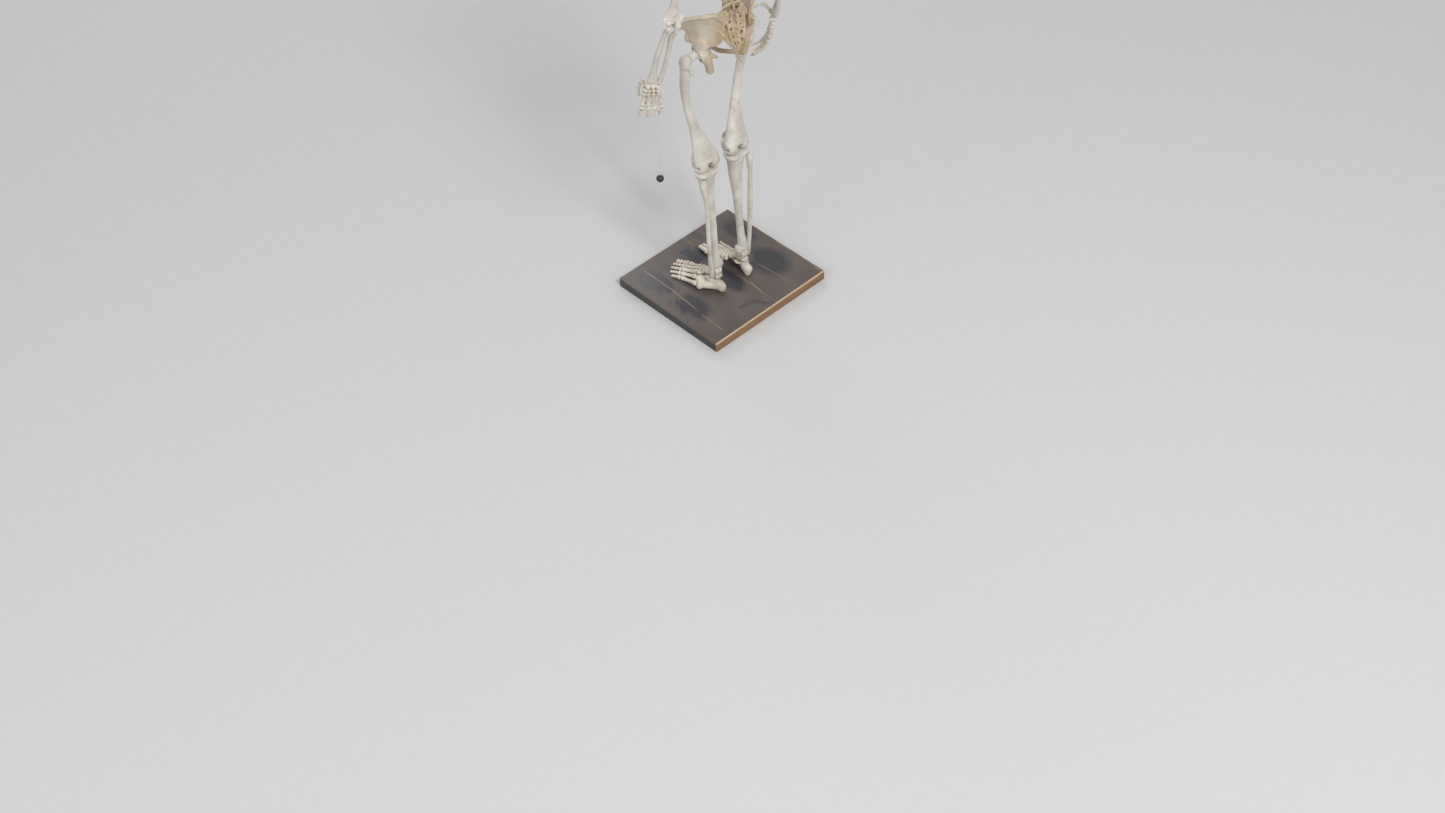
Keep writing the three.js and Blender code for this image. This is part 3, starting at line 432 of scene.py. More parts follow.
def stone_material():
    """Dark brown-grey polished stone: long tan veins from front to back and smooth blue-black painted reflections."""
    m = Nodes("veined_stone")
    place_ = m.place()
    broad = m.noise(6, 3, 0.5, place_, 0.3)
    fine = m.noise(240, 4, 0.65, place_)
    tone = m.mix(m.ramp(broad, (0.35, 0.0), (0.68, 1.0)), colour("59504c"), colour("655d59"))
    tone = m.mix(m.math("MULTIPLY", m.ramp(fine, (0.45, 0.0), (0.7, 1.0)), 0.18), tone, colour("4b4340"))
    reflection_at = m.add("ShaderNodeMapping", {"Vector": place_, "Location": (0.31, 0.12, 0), "Scale": (1, 0.7, 1)}).outputs[0]
    reflection_wisps = m.noise(6.5, 5, 0.55, reflection_at, 1.6)
    dark_reflection = m.math("MULTIPLY", m.ramp(reflection_wisps, (0.6, 0.0), (0.7, 1.0)), 0.6)
    for x, y, across, along in DARK_REFLECTIONS:
        off = m.add("ShaderNodeMapping", {"Vector": place_, "Location": (-x / across, -y / along, 0), "Scale": (1 / across, 1 / along, 0)}).outputs[0]
        away = m.add("ShaderNodeVectorMath", {0: off}, operation="LENGTH").outputs["Value"]
        near = m.ramp(m.math("ADD", away, m.math("MULTIPLY", m.math("SUBTRACT", reflection_wisps, 0.5), 3.2)), (0.6, 1.0), (1.2, 0.0))
        dark_reflection = m.math("MAXIMUM", dark_reflection, near)
    # Painted reflection: blue-black patches laid over the stone colour.
    tone = m.mix(m.math("MULTIPLY", dark_reflection, 0.9), tone, colour("393a40"))
    for spacing, skew, at, width, strength in ((0.107, 0.03, 0.018, 0.011, 0.8), (0.19, -0.06, 0.1, 0.006, 0.6), (0.31, 0.3, 0.05, 0.004, 0.45)):
        turned_ = m.add("ShaderNodeMapping", {"Vector": place_, "Rotation": (0, 0, skew), "Location": (at, 0, 0)}).outputs[0]
        split = m.add("ShaderNodeSeparateXYZ", {"Vector": turned_}).outputs["X"]
        wander = m.math("MULTIPLY", m.add("ShaderNodeTexNoise", {"Vector": turned_, "Scale": 7.0, "Detail": 4.0}).outputs["Fac"], 0.035)
        phase = m.add("ShaderNodeMath", operation="ADD")
        m.link(split, phase.inputs[0])
        m.link(wander, phase.inputs[1])
        wave = m.add("ShaderNodeMath", operation="PINGPONG")
        m.link(phase.outputs[0], wave.inputs[0])
        wave.inputs[1].default_value = spacing
        line = m.ramp(m.add("ShaderNodeMath", {0: wave.outputs[0], 1: spacing}, operation="DIVIDE").outputs[0], (0.0, 1.0), (width, 0.8), (width * 2.2, 0.0))
        fade = m.ramp(m.noise(9, 4, 0.6, turned_), (0.42, 0.0), (0.58, 1.0))
        tone = m.mix(m.math("MULTIPLY", m.math("MULTIPLY", line, fade), strength), tone, colour("a38a66"))
    flecks = m.add("ShaderNodeTexVoronoi", {"Vector": place_, "Scale": 90.0}).outputs["Distance"]
    few = m.ramp(m.noise(14, 2), (0.55, 0.0), (0.62, 1.0))
    tone = m.mix(m.math("MULTIPLY", m.math("MULTIPLY", m.ramp(flecks, (0.0, 1.0), (0.1, 0.0)), few), 0.7), tone, colour("b6b0a6"))
    rough = m.math("SUBTRACT", 0.42, m.math("MULTIPLY", dark_reflection, 0.2))
    m.bump(fine, 0.0002, 0.2)
    return m.set(Base_Color=tone, Roughness=rough)


def wood_material():
    m = Nodes("edge_wood")
    long_ = m.add("ShaderNodeMapping", {"Vector": m.place(), "Scale": (0.09, 1.0, 1.0)}).outputs[0]
    grain = m.noise(300, 5, 0.65, long_, 0.5)
    broad = m.noise(30, 3, 0.5, long_)
    tone = m.mix(m.ramp(grain, (0.35, 0.0), (0.68, 1.0)), colour("84603f"), colour("9e7a56"))
    tone = m.mix(m.math("MULTIPLY", m.ramp(broad, (0.5, 0.0), (0.75, 1.0)), 0.5), tone, colour("6d4c30"))
    # Painted highlight: a pale band along the top edge of the wood strip.
    height = m.add("ShaderNodeSeparateXYZ", {"Vector": m.place()}).outputs["Z"]
    top_edge_highlight = m.add("ShaderNodeMapRange", {"Value": height, "From Min": 0.0305, "From Max": 0.0325}).outputs[0]
    tone = m.mix(top_edge_highlight, tone, colour("c8b090"))
    m.bump(grain, 0.0004, 0.4)
    return m.set(Base_Color=tone, Roughness=m.math("ADD", m.math("MULTIPLY", grain, 0.25), 0.4))


def lacquer_material():
    m = Nodes("black_board")
    wear = m.noise(40, 5, 0.6)
    scuff = m.ramp(m.noise(220, 3, 0.6), (0.62, 0.0), (0.72, 1.0))
    tone = m.mix(m.ramp(wear, (0.4, 0.0), (0.7, 1.0)), colour("3a3a3b"), colour("484746"))
    tone = m.mix(m.math("MULTIPLY", scuff, 0.35), tone, colour("7a756c"))
    m.bump(m.noise(420, 3), 0.0003, 0.3)
    return m.set(Base_Color=tone, Roughness=m.math("ADD", m.math("MULTIPLY", wear, 0.25), 0.38))


def rubber_material():
    m = Nodes("black_rubber")
    tone = m.mix(m.ramp(m.noise(180, 4), (0.4, 0.0), (0.7, 1.0)), colour("2c2f35"), colour("3c3f46"))
    m.bump(m.noise(900, 3), 0.0002, 0.4)
    return m.set(Base_Color=tone, Roughness=m.math("ADD", m.math("MULTIPLY", m.noise(60), 0.2), 0.45))


def line_material():
    m = Nodes("nylon_line")
    tone = m.mix(m.noise(400, 2), colour("c9c9c6"), colour("bdbcb8"))
    return m.set(Base_Color=tone, Roughness=m.math("ADD", m.math("MULTIPLY", m.noise(300), 0.2), 0.35))


STEEL = steel_material()
ENAMEL = enamel_material()
MARBLE = stone_material()
WOOD = wood_material()
LACQUER = lacquer_material()
RUBBER = rubber_material()
LINE = line_material()


# ---------------------------------------------------------------- legs
def femur():
    c = Clay((15, -75, 464), (172, 50, 960), 1.6)
    c.limb(
        [
            [138, -18, 900, 17, 17],
            [135, -20, 862, 16.5, 15.5],
            [124, -36, 796, 13.5, 14],
            [107, -41, 707, 13, 13.5],
            [89, -33, 630, 17, 15],
            [79, -23, 580, 28, 17],
            [70, -13, 530, 41, 20],
        ]
    )
    x, y, z = KNEE
    for middle, width in ((x - 26, 15.5), (x + 26, 15)):
        arc = [(-23, 20), (-22, 4), (-13, -10), (0, -14.5), (11, -9), (15, 3), (10, 13)]
        c.limb([[middle, y + dy, z + dz, width, 9.5] for dy, dz in arc], blend=8)
    c.ball((x, y - 12, z + 16), (34, 14, 18), 10)
    c.ball((x, y - 2, z + 24), (42, 19, 22), 12)
    c.limb([[x, y + 44, z - 16, 7, 12], [x, y + 12, z - 20, 6.5, 11]], blend=8, cut=True)
    c.ball((x, y + 10, z + 15.5), (16, 11.5, 11.5), 7)
    c.limb([[x, y - 34, z + 22, 7, 10], [x, y - 28, z - 6, 7, 8]], blend=8, cut=True)
    c.ball((x - 41, y, z + 14), (5, 10, 13), 6).ball((x + 41, y, z + 12), (5, 9, 12), 6)
    c.limb([[94, -1, 921, 17, 15], [115, -8, 915, 13, 13.5], [136, -15, 904, 17, 16]], side=Z, blend=7)
    c.ball(HIP, (23.4, 23.4, 23.4), 3)
    c.ball((147, -10, 905), (13, 18, 24), 8).ball((141, -3, 922), (9, 9, 9), 6)
    c.limb([[141, 3, 912, 6, 6], [135, 1, 886, 5, 5], [125, -5, 866, 6, 6]], blend=7)
    c.ball((121, -6, 861), (8, 8, 11), 7)
    c.limb([[126, -12, 836, 4, 4], [120, -24, 796, 3, 4], [104, -28.5, 707, 3, 4], [88, -20, 640, 3, 4]], blend=6)
    c.ball((67, 3, 917), (5, 4, 5), 3, cut=True)
    c.ball((133, 12, 902), (5, 5, 8), 6, cut=True)
    return c.rough(0.3, 22, 2).mesh()


def tibia():
    c = Clay((16, -50, 66), (114, 60, 514), 1.6)
    c.limb(
        [
            [65, -5, 468, 38, 23],
            [65, -5, 458, 39, 24],
            [64, -6, 434, 30, 23],
            [62, -5, 390, 23, 21],
            [60, 3, 335, 16.5, 17],
            [58, 14, 260, 12.5, 14],
            [59, 25, 160, 12.5, 13],
            [60, 31, 118, 17, 15],
            [60, 32, 98, 21, 17],
        ],
        flat=True,
    )
    c.ball((45, -4, 463), (22, 26, 12), 8).ball((87, -3, 463), (20, 24, 12), 8)
    c.limb([[63, -26, 446, 9, 7], [62, -29, 432, 8, 7], [61, -22, 400, 6, 6], [60, -12, 335, 4, 6], [59, 2, 250, 4, 5], [61, 15, 160, 4, 5]], blend=8)
    c.limb([[43, 29, 108, 8, 13], [40, 30, 92, 6, 11], [41, 30, 78, 4, 8]], blend=6)
    c.keep(2, high=473.5, blend=2)
    c.ball((45, -3, 475), (15, 18, 4), 4, cut=True).ball((87, -3, 475), (14, 16, 3), 4, cut=True)
    c.limb([[65, -4, 464, 6, 9], [65, -5, 499, 4.5, 6.5]], blend=4)
    _, ay, az = ANKLE
    c.limb([[46.5, ay, az, 18.6, 18.6], [130, ay, az, 18.6, 18.6]], side=Z, blend=2, cut=True, flat=True)
    return c.rough(0.3, 20, 4).mesh()


def fibula():
    c = Clay((66, 0, 50), (122, 62, 474), 1.4)
    c.limb(
        [
            [102, 18, 451, 8, 8.5],
            [102, 20, 438, 11.5, 12],
            [100, 22, 418, 9, 9.5],
            [98, 26, 384, 6.8, 7.2],
            [96, 31, 300, 6.8, 7.8],
            [93, 34, 200, 6.4, 7.4],
            [88, 35, 130, 6.8, 8],
            [84, 35, 100, 7.8, 10],
            [83.5, 35, 78, 6.8, 9.5],
            [84, 36, 62, 4, 6],
        ]
    )
    c.limb([[94, 25, 350, 2, 3], [90, 29, 240, 2, 3], [87, 31, 150, 2, 3]], blend=5)
    c.ball((104, 24, 456), (4.5, 4.5, 5.5), 5)
    return c.rough(0.25, 14, 6).mesh()


def patella():
    c = Clay((35, -65, 472), (95, -20, 542), 1.2)
    x, y, z = KNEE
    c.ball((x, y - 40, z + 14), (21, 9.5, 18), 3)
    c.limb([[x, y - 41, z + 10, 13, 7], [x, y - 40, z - 8, 5, 4.5]], blend=8)
    c.ball((x - 11, y - 29, z + 15), (12, 5, 14), 4, cut=True).ball((x + 11, y - 29, z + 15), (12, 5, 14), 4, cut=True)
    return c.rough(0.5, 6, 8).mesh()


RAYS = (
    ([46, -42, 33, 10.5, 12.5], [47, -100, 15, 11, 10.5], [52, -125, 11.5, 8.8, 7.6], [58, -148, 9, 8.8, 6]),
    ([58, -42, 35, 8.6, 10], [64, -104, 13, 8, 8], [70, -130, 10, 5.8, 5.4], [72.5, -139, 8, 5.2, 4.8], [75, -148, 6, 5, 3.9]),
    ([71, -38, 32, 8.6, 10], [80, -101, 12, 8, 7.8], [87, -124, 9, 5.6, 5.2], [89.5, -132, 7.5, 5, 4.6], [92, -141, 5.5, 4.9, 3.7]),
    ([86, -28, 27, 8.6, 9.6], [96, -92, 11, 8, 7.6], [102, -114, 8, 5.4, 5], [105, -122, 7, 5, 4.5], [108, -130, 5.5, 4.9, 3.7]),
    ([103, -10, 18, 10, 9.5], [110, -78, 10, 8, 7.6], [115, -97, 7.5, 5.4, 5], [118, -105, 6.5, 5, 4.5], [121, -113, 5.5, 4.9, 3.7]),
)


def long_bone(c, start, end, waist, blend=0.5, side=X):
    """A small bone with a knuckle at each end and a waist."""
    a, b = np.array(start, float), np.array(end, float)
    out = (b[:3] - a[:3]) / (np.linalg.norm(b[:3] - a[:3]) + 1e-9)
    first, last = a.copy(), b.copy()
    first[:3] += out * a[3:].min() * 0.75
    last[:3] -= out * b[3:].min() * 0.75
    stations = [first]
    for t in (0.25, 0.5, 0.75):
        s = first * (1 - t) + last * t
        s[3:] *= waist if t == 0.5 else (1 + waist) / 2.2
        stations.append(s)
    c.limb([*stations, last], side=side, blend=blend)


def foot():
    c = Clay((22, -162, -4), (142, 86, 102), 1.3)
    c.limb([[61, 63, 20, 13, 17], [61, 52, 23, 15, 19], [63, 32, 30, 12, 15], [66, 8, 30, 12, 12], [68, -6, 26, 11, 11]], blend=4)
    c.ball((49, 22, 40), (9, 12, 6), 5)
    c.ball((57, 60, 8), (9, 9, 7), 6)
    c.limb([[47.5, 32, 76, 16.5, 16.5], [73, 32, 76, 16.5, 16.5]], side=Z, blend=1.0, flat=True)
    c.limb([[60, 46, 58, 13, 9], [60, 28, 60, 15, 12], [57, 8, 55, 11, 10], [55, -9, 47, 13, 12]], blend=2)
    c.limb([[40, 28, 46, 5, 5], [84, 8, 40, 5, 6]], side=Z, blend=5, cut=True)
    c.ball((54, -20, 43), (18, 8, 13), 0.6).ball((38, -18, 38), (5, 6, 7), 3)
    c.ball((84, -13, 25), (17, 19, 13), 0.8).ball((106, 0, 14), (8, 10, 9), 4)
    c.limb([[72, 40, 20, 9, 11], [88, 14, 19, 13, 12], [99, -4, 19, 11, 11]], blend=9)
    c.ball((46, -34, 35), (10, 12, 14), 0.8).ball((58, -34, 38), (8.5, 11, 11), 0.8).ball((71, -32, 34), (9, 12, 11), 0.8)
    for ray in RAYS:
        for start, end in zip(ray, ray[1:]):
            long_bone(c, start, end, 0.68 if start[2] > 16 else 0.6, 1.5)
    c.keep(2, low=0.6)
    return c.rough(0.3, 8, 5).mesh()


def turned(angle):
    """Turns the front of a foot out about the ankle, leaving the heel where it is."""

    def move(points):
        w = np.clip((10 - points[:, 1]) / 40, 0, 1) * math.radians(angle)
        x, y = points[:, 0] - ANKLE[0], points[:, 1] - ANKLE[1]
        out = points.copy()
        out[:, 0] = ANKLE[0] + x * np.cos(w) - y * np.sin(w)
        out[:, 1] = ANKLE[1] + x * np.sin(w) + y * np.cos(w)
        return out

    return move


def legs():
    both("femur", femur, "thigh", "femur", IVORY)
    both("patella", patella, "thigh", "patella", IVORY)
    both("tibia", tibia, "shank", "tibia", IVORY)
    both("fibula", fibula, "shank", "fibula", IVORY)
    made = foot()
    place("left_foot_cast", made, "stand", ["left_foot"], HAND_BONE, "bone", move=turned(2))
    place("right_foot_cast", made, "stand", ["right_foot"], HAND_BONE, "bone", True, move=turned(-5))


# ---------------------------------------------------------------- pelvis
CREST = [[128, -53, 1005], [135, -34, 1032], [131, -10, 1050], [119, 16, 1061], [101, 36, 1066], [80, 50, 1066], [60, 60, 1046]]
BRIM = [[107, -36, 962], [108, -14, 958], [100, 8, 956], [90, 22, 956], [80, 33, 956], [70, 43, 962], [60, 52, 976]]


def hip_bone():
    c = Clay((-2, -82, 824), (158, 102, 1084), 1.6)
    middle = [[(a[0] + b[0]) / 2 - 9, (a[1] + b[1]) / 2 + 3, (a[2] + b[2]) / 2, 2.2] for a, b in zip(CREST, BRIM)]
    c.sheet([[[*p, 4.5] for p in CREST], middle, [[*p, 6.0] for p in BRIM]], 4)
    c.limb([[*p, 7, 6] for p in CREST], blend=5)
    c.ball((126, -53, 1000), (7, 8, 13), 5).ball((107, -36, 962), (10, 10, 15), 6)
    c.limb([[82, -8, 932, 25, 25], [91, 2, 948, 22, 28], [99, 0, 970, 11, 30]], blend=8)
    c.ball(HIP, (30.5, 30.5, 30.5), 5)
    c.limb([[94, -22, 938, 6, 6], [86, 8, 948, 7, 8], [76, 30, 960, 7, 10], [66, 46, 978, 8, 16], [62, 54, 1004, 9, 20]], blend=6)
    c.limb([[84, 12, 910, 18, 19], [78, 19, 886, 13, 15], [72, 18, 864, 11, 12], [69, 13, 849, 8, 9.5]], blend=6)
    c.limb([[72, 27, 913, 7, 9], [57, 38, 905, 3, 5]], blend=5)
    c.limb([[67, 6, 849, 7, 9], [43, -20, 848, 5.5, 8], [23, -44, 852, 6, 9], [12, -55, 863, 6.5, 12]], blend=5)
    c.limb([[76, -18, 920, 12, 12], [54, -39, 912, 8.5, 9], [30, -54, 901, 7.5, 9], [12, -59, 888, 6.5, 15]], side=Z, blend=5)
    c.ball((70, 20, 856), (11, 12, 11), 6)
    c.ball(HIP, (25.4, 25.4, 25.4), 1.5, cut=True)
    c.limb([[*HIP, 25.4, 25.4], [170, -16, 894, 27, 27]], blend=2, cut=True)
    c.limb([[100, -6, 905, 7, 7], [96, -14, 888, 7, 7]], blend=4, cut=True)
    c.keep(0, low=4.6)
    return c.rough(0.6, 16, 9).mesh()


def sacrum():
    c = Clay((-62, 0, 884), (62, 106, 1066), 1.4)
    c.limb(
        [[0, 32, 1044, 50, 17], [0, 37, 1020, 52, 17], [0, 45, 988, 49, 15.5], [0, 54, 958, 39, 12.5], [0, 61, 932, 23, 9], [0, 64, 912, 11, 6.5]],
        flat=True,
    )
    for s in (1, -1):
        c.limb([[s * 20, 36, 1040, 12, 12], [s * 40, 40, 1028, 13, 13], [s * 52, 44, 1010, 5, 14]], blend=6)
        c.limb([[s * 17, 52, 1038, 5, 6], [s * 18, 50, 1054, 5, 6]], blend=4)
        c.limb([[s * 33, 53, 1022, 4, 5], [s * 31, 60, 990, 4, 5], [s * 24, 65, 958, 3.5, 4], [s * 15, 69, 936, 3, 4]], blend=5)
        for t in range(4):
            z, x = 1018 - 23 * t, 22 - 2 * t
            y = 48 + 7 * t
            c.limb([[s * x, y + 30, z + 4, 3.6, 4.8], [s * x, y - 45, z - 10, 4.8, 5.2]], blend=3, cut=True)
    for t, z in enumerate((1040, 1018, 996, 974, 953)):
        c.limb([[0, 48 + 4 * t, z, 4.5, 6], [0, 60 + 3.2 * t, z - 6, 3.2, 5]], blend=4)
    for t in range(4):
        y, z = 19 + 8 * t, 1030 - 24 * t
        c.limb([[-16, y, z, 2, 2], [16, y, z, 2, 2]], side=Z, blend=3)
    for y, z, r in ((64, 908, 9), (63, 899, 7), (60, 892, 5)):
        c.ball((0, y, z), (r, r * 0.7, r * 0.7), 1)
    c.limb([[0, 44, 1058, 9, 6], [0, 58, 1010, 7, 5]], blend=3, cut=True)
    return c.rough(1.2, 7, 12).mesh()


def pelvis():
    both("hip_bone", hip_bone, "trunk", "hip_bone", HIP_BONE, "stained_bone")
    place("sacrum_cast", sacrum(), "trunk", ["sacrum"], STAINED, "stained_bone")
    c = Clay((-14, -76, 850), (14, -44, 904), 1.0)
    c.ball((0, -58, 877), (4.6, 9, 19), 2)
    place("pubic_disc_cast", c.rough(0.5, 4, 3).mesh(), "trunk", ["pubic_disc"], GRISTLE, "cartilage")



# ---------------------------------------------------------------- spine
SPINE_LINE = curve(
    [
        [0, 33, 1048],
        [0, 20, 1105],
        [0, 15, 1160],
        [0, 21, 1230],
        [0, 44, 1310],
        [0, 60, 1390],
        [0, 56, 1450],
        [0, 38, 1508],
        [0, 20, 1560],
        [0, 13, 1600],
        [0, 12, 1632],
    ],
    2.0,
)
# From, to, count, body share of the pitch, then half width, half depth, transverse reach and spinous
# reach of the lowest and the highest vertebra, and the droop of the spinous process.
REGIONS = {
    "lumbar": (1054, 1232, 5, 0.74, (27, 17, 54, 52), (23, 15, 44, 48), 5),
    "thoracic": (1234, 1508, 12, 0.8, (20, 14, 25, 46), (14, 10, 28, 42), 19),
    "cervical": (1510, 1622, 7, 0.72, (13, 9, 25, 40), (11, 8, 27, 26), 8),
}


def spine_at(z):
    """(y, slope of y against z) of the middle of the spine at height z."""
    y = np.interp([z - 4, z, z + 4], SPINE_LINE[:, 2], SPINE_LINE[:, 1])
    return float(y[1]), float((y[2] - y[0]) / 8)


def spine_frame(z):
    y, slope = spine_at(z)
    up = np.array([0, slope, 1]) / math.hypot(slope, 1)
    back = np.array([0, up[2], -up[1]])
    return lambda x, b, u: list(np.array([x, y, z]) + back * b + up * u)


def vertebra(region, i):
    start, end, count, share, low, high, droop = REGIONS[region]
    pitch = (end - start) / count
    z = start + pitch * (i + 0.5)
    t = i / (count - 1)
    a, b, wing, tip = (lo * (1 - t) + hi * t for lo, hi in zip(low, high))
    at = spine_frame(z)
    half = pitch * share / 2
    y = at(0, 0, 0)[1]
    c = Clay((-wing - 7, y - b - 6, z - pitch - droop - 4), (wing + 7, y + tip + 8, z + pitch), 1.25)
    c.limb(
        [[*at(0, 0, u * half), a * w, b * w] for u, w in ((-1, 1), (-0.8, 1), (0, 0.86), (0.8, 1), (1, 0.98))],
        flat=True,
        blend=2,
    )
    canal = b + 7.5
    for s in (1, -1):
        c.limb([[*at(s * a * 0.55, b * 0.55, half * 0.35), 3.6, half * 0.42], [*at(s * 11, canal, 1), 3.4, half * 0.5]], blend=3)
        c.limb([[*at(s * 11, canal + 2, 0), 3.2, half * 0.62], [*at(s * 2, canal + 9, -3), 2.8, half * 0.6]], blend=3)
        if region == "lumbar":
            c.limb([[*at(s * 11, canal, 2), 5, 4.5], [*at(s * (wing - 12), canal + 3, 3), 2.6, 5], [*at(s * wing, canal + 5, 4), 2.4, 4]], side=Y, blend=4)
        elif region == "thoracic":
            c.limb([[*at(s * 11, canal + 2, 3), 4.5, 4.5], [*at(s * (wing - 3), canal + 11, 5), 4, 4.4]], side=Y, blend=4)
            c.ball(at(s * wing, canal + 11, 5), (4.8, 4.6, 5.4), 3)
        else:
            c.limb([[*at(s * 10, b * 0.2, 1), 3, 2.6], [*at(s * (wing - 6), b * 0.1, 0), 3, 2.4]], side=Y, blend=3)
            c.limb([[*at(s * 11, canal, 0), 3, 3], [*at(s * (wing - 6), b * 0.7, 0), 3, 2.6]], side=Y, blend=3)
            c.ball(at(s * 16, b * 0.55, 0), (2.6, 2.6, 7), 1, cut=True)
        up_x, down_x = (15, 12) if region == "lumbar" else (11, 10)
        c.limb([[*at(s * up_x, canal + 2, 2), 4, 4], [*at(s * up_x, canal + 2, pitch * 0.47), 3.6, 3.2]], blend=3)
        c.limb([[*at(s * down_x, canal + 5, -2), 4, 3.6], [*at(s * down_x, canal + 6.5, -pitch * 0.5), 3.4, 3]], blend=3)
    high_half = {"lumbar": 9.5, "thoracic": 4.5, "cervical": 3.6}[region]
    root, end_back = canal + 7, tip - 2
    steps = [
        [*at(0, root + (end_back - root) * k, -2 - droop * k**1.2), 2.6 + 0.9 * (k > 0.9), high_half * (1 - 0.12 * k)]
        for k in (0, 0.35, 0.7, 1)
    ]
    c.limb(steps, blend=4)
    c.limb([[*at(0, canal, -pitch), 9.5, 6.5], [*at(0, canal, pitch), 9.5, 6.5]], blend=1.5, cut=True)
    return c.rough(0.55, 6, 20 + i).mesh(0.02)


def discs(region):
    start, end, count, share, low, high, _ = REGIONS[region]
    pitch = (end - start) / count
    first, last = at_ends = (spine_at(start)[0], spine_at(end)[0])
    reach = low[0] + 4
    c = Clay((-reach, min(*at_ends, 15) - low[1] - 6, start - 9), (reach, max(*at_ends, 60) + low[1] + 6, end + 5), 1.5)
    for i in range(count):
        t = i / count
        a, b = (low[k] * (1 - t) + high[k] * t for k in (0, 1))
        at = spine_frame(start + pitch * i)
        gap = pitch * (1 - share) / 2 + 0.8
        c.limb([[*at(0, 0, -gap), a * 0.94, b * 0.94], [*at(0, 0, 0), a * 0.99, b * 0.99], [*at(0, 0, gap), a * 0.94, b * 0.94]], blend=0.5, flat=True)
    return c.rough(0.4, 5, 40).mesh(0.02)


def spine():
    for region, material, slot in (
        ("lumbar", STAINED, "stained_bone"),
        ("thoracic", IVORY, "bone"),
        ("cervical", IVORY, "bone"),
    ):
        node = f"{region}_spine"
        count = REGIONS[region][2]
        for i in range(count):
            place(f"{region}_vertebra_{count - i}", vertebra(region, i), "trunk", [node], material, slot)
        place(f"{region}_discs", discs(region), "trunk", [node], GRISTLE, "cartilage")


# ---------------------------------------------------------------- rib cage
# Height at the spine, half width, front and rear reach, drop to the front, bony share of the half turn.
RIBS = [
    [1505, 52, -46, 66, 26, 0.86],
    [1483, 80, -62, 80, 40, 0.84],
    [1460, 100, -76, 86, 54, 0.82],
    [1437, 114, -86, 90, 66, 0.81],
    [1414, 124, -94, 92, 76, 0.8],
    [1391, 132, -99, 92, 86, 0.78],
    [1368, 138, -100, 90, 94, 0.76],
    [1345, 141, -98, 86, 100, 0.74],
    [1322, 140, -92, 80, 104, 0.7],
    [1300, 136, -82, 74, 102, 0.64],
    [1277, 124, -60, 66, 84, 0.5],
    [1254, 104, -30, 58, 52, 0.34],
]
STERNUM_TOP, STERNUM_LOW = np.array([0, -62, 1448.0]), np.array([0, -100, 1290.0])


def rib_point(i, turn):
    z, width, front, rear, drop, _ = RIBS[i]
    angle = turn * math.pi
    middle, reach = (front + rear) / 2, (rear - front) / 2
    x = width * max(math.sin(angle), 0) ** 0.85
    return [x, middle + reach * math.cos(angle), z - drop * (1 - math.cos(angle)) / 2]


def cartilage_end(i):
    if i > 6:
        a, b = np.array(rib_point(i - 1, RIBS[i - 1][5])), cartilage_end(i - 1)
        return a + (b - a) * 0.45
    p = STERNUM_TOP + (STERNUM_LOW - STERNUM_TOP) * (0.06 + 0.86 * i / 6)
    return np.array([11.0 if i else 20.0, p[1], p[2]])


def rib(i):
    z, end = RIBS[i][0], RIBS[i][5]
    y = spine_at(z)[0]
    out = (20 if i < 1 else 18) + 0.6 * i
    if i > 9:
        out -= 2
    flat = 4.6 if i == 0 else 2.5
    tall = 3.0 if i == 0 else 5.6
    row = [[out, y + 4, z + 2, 4.4, 4.2], [out + 5, y + 14, z + 2, 2.9, 3.4], [30, y + 25, z + 1, 3.6, 4.2]]
    for t in (0.14, 0.22, 0.32, 0.44, 0.57, 0.7, 0.84, 0.94, 1.0):
        row.append([*rib_point(i, 0.05 * (1 - t) + t * end), tall * (1 - 0.15 * (t > 0.5) + 0.12 * (t == 1.0)), flat])
    if i > 9:
        row[-1][3:] = [2.6, 2.2]
    p = np.array(row)[:, :3]
    c = Clay(p.min(0) - 10, p.max(0) + 10, 1.35)
    c.limb(row, side=Z, blend=1)
    c.ball((30, y + 27, z + 1), (4.4, 4, 4.6), 3)
    return c.rough(0.35, 7, 50 + i).mesh(0.02)


def costal_cartilage():
    c = Clay((2, -128, 1180), (150, -20, 1460), 1.6)
    for i in range(10):
        a, b = np.array(rib_point(i, RIBS[i][5])), cartilage_end(i)
        d = (a - np.array(rib_point(i, RIBS[i][5] - 0.04))) * 0.8
        middle = (a * 0.45 + b * 0.55) + np.array([d[0] * 0.5, min(d[1], 0) * 0.5 - 1, -abs(b[2] - a[2]) * 0.22])
        c.limb([[*(a - d * 0.2), 4.6, 3.3], [*middle, 4.6, 3.4], [*b, 4.4, 3.6]], side=Z, blend=2)
    return c.rough(0.6, 7, 70).mesh(0.02)


def sternum():
    c = Clay((-36, -122, 1264), (36, -48, 1462), 1.4)

    def at(share, half, thick):
        p = STERNUM_TOP + (STERNUM_LOW - STERNUM_TOP) * share
        return [*p, half, thick]

    c.limb([at(0.0, 25, 5.5), at(0.1, 28, 6.5), at(0.2, 20, 5.5), at(0.27, 15, 5)], blend=2)
    c.limb([at(0.3, 15, 4.6), at(0.42, 14.5, 4.6), at(0.62, 18, 5), at(0.8, 19.5, 5), at(0.93, 13, 4)], blend=1)
    c.limb([at(0.94, 7, 3.4), at(1.04, 6, 3), at(1.14, 3.5, 2.4)], blend=2)
    c.ball((0, -62, 1455), (11, 12, 6), 4, cut=True)
    for s in (1, -1):
        c.ball((s * 24, -62, 1453), (8, 9, 5), 3, cut=True)
    for share in (0.3, 0.47, 0.63, 0.78):
        p = at(share, 0, 0)
        c.limb([[-20, p[1] - 5.5, p[2], 1.2, 1.2], [20, p[1] - 5.5, p[2], 1.2, 1.2]], side=Z, blend=3)
    return c.rough(0.6, 7, 71).mesh()


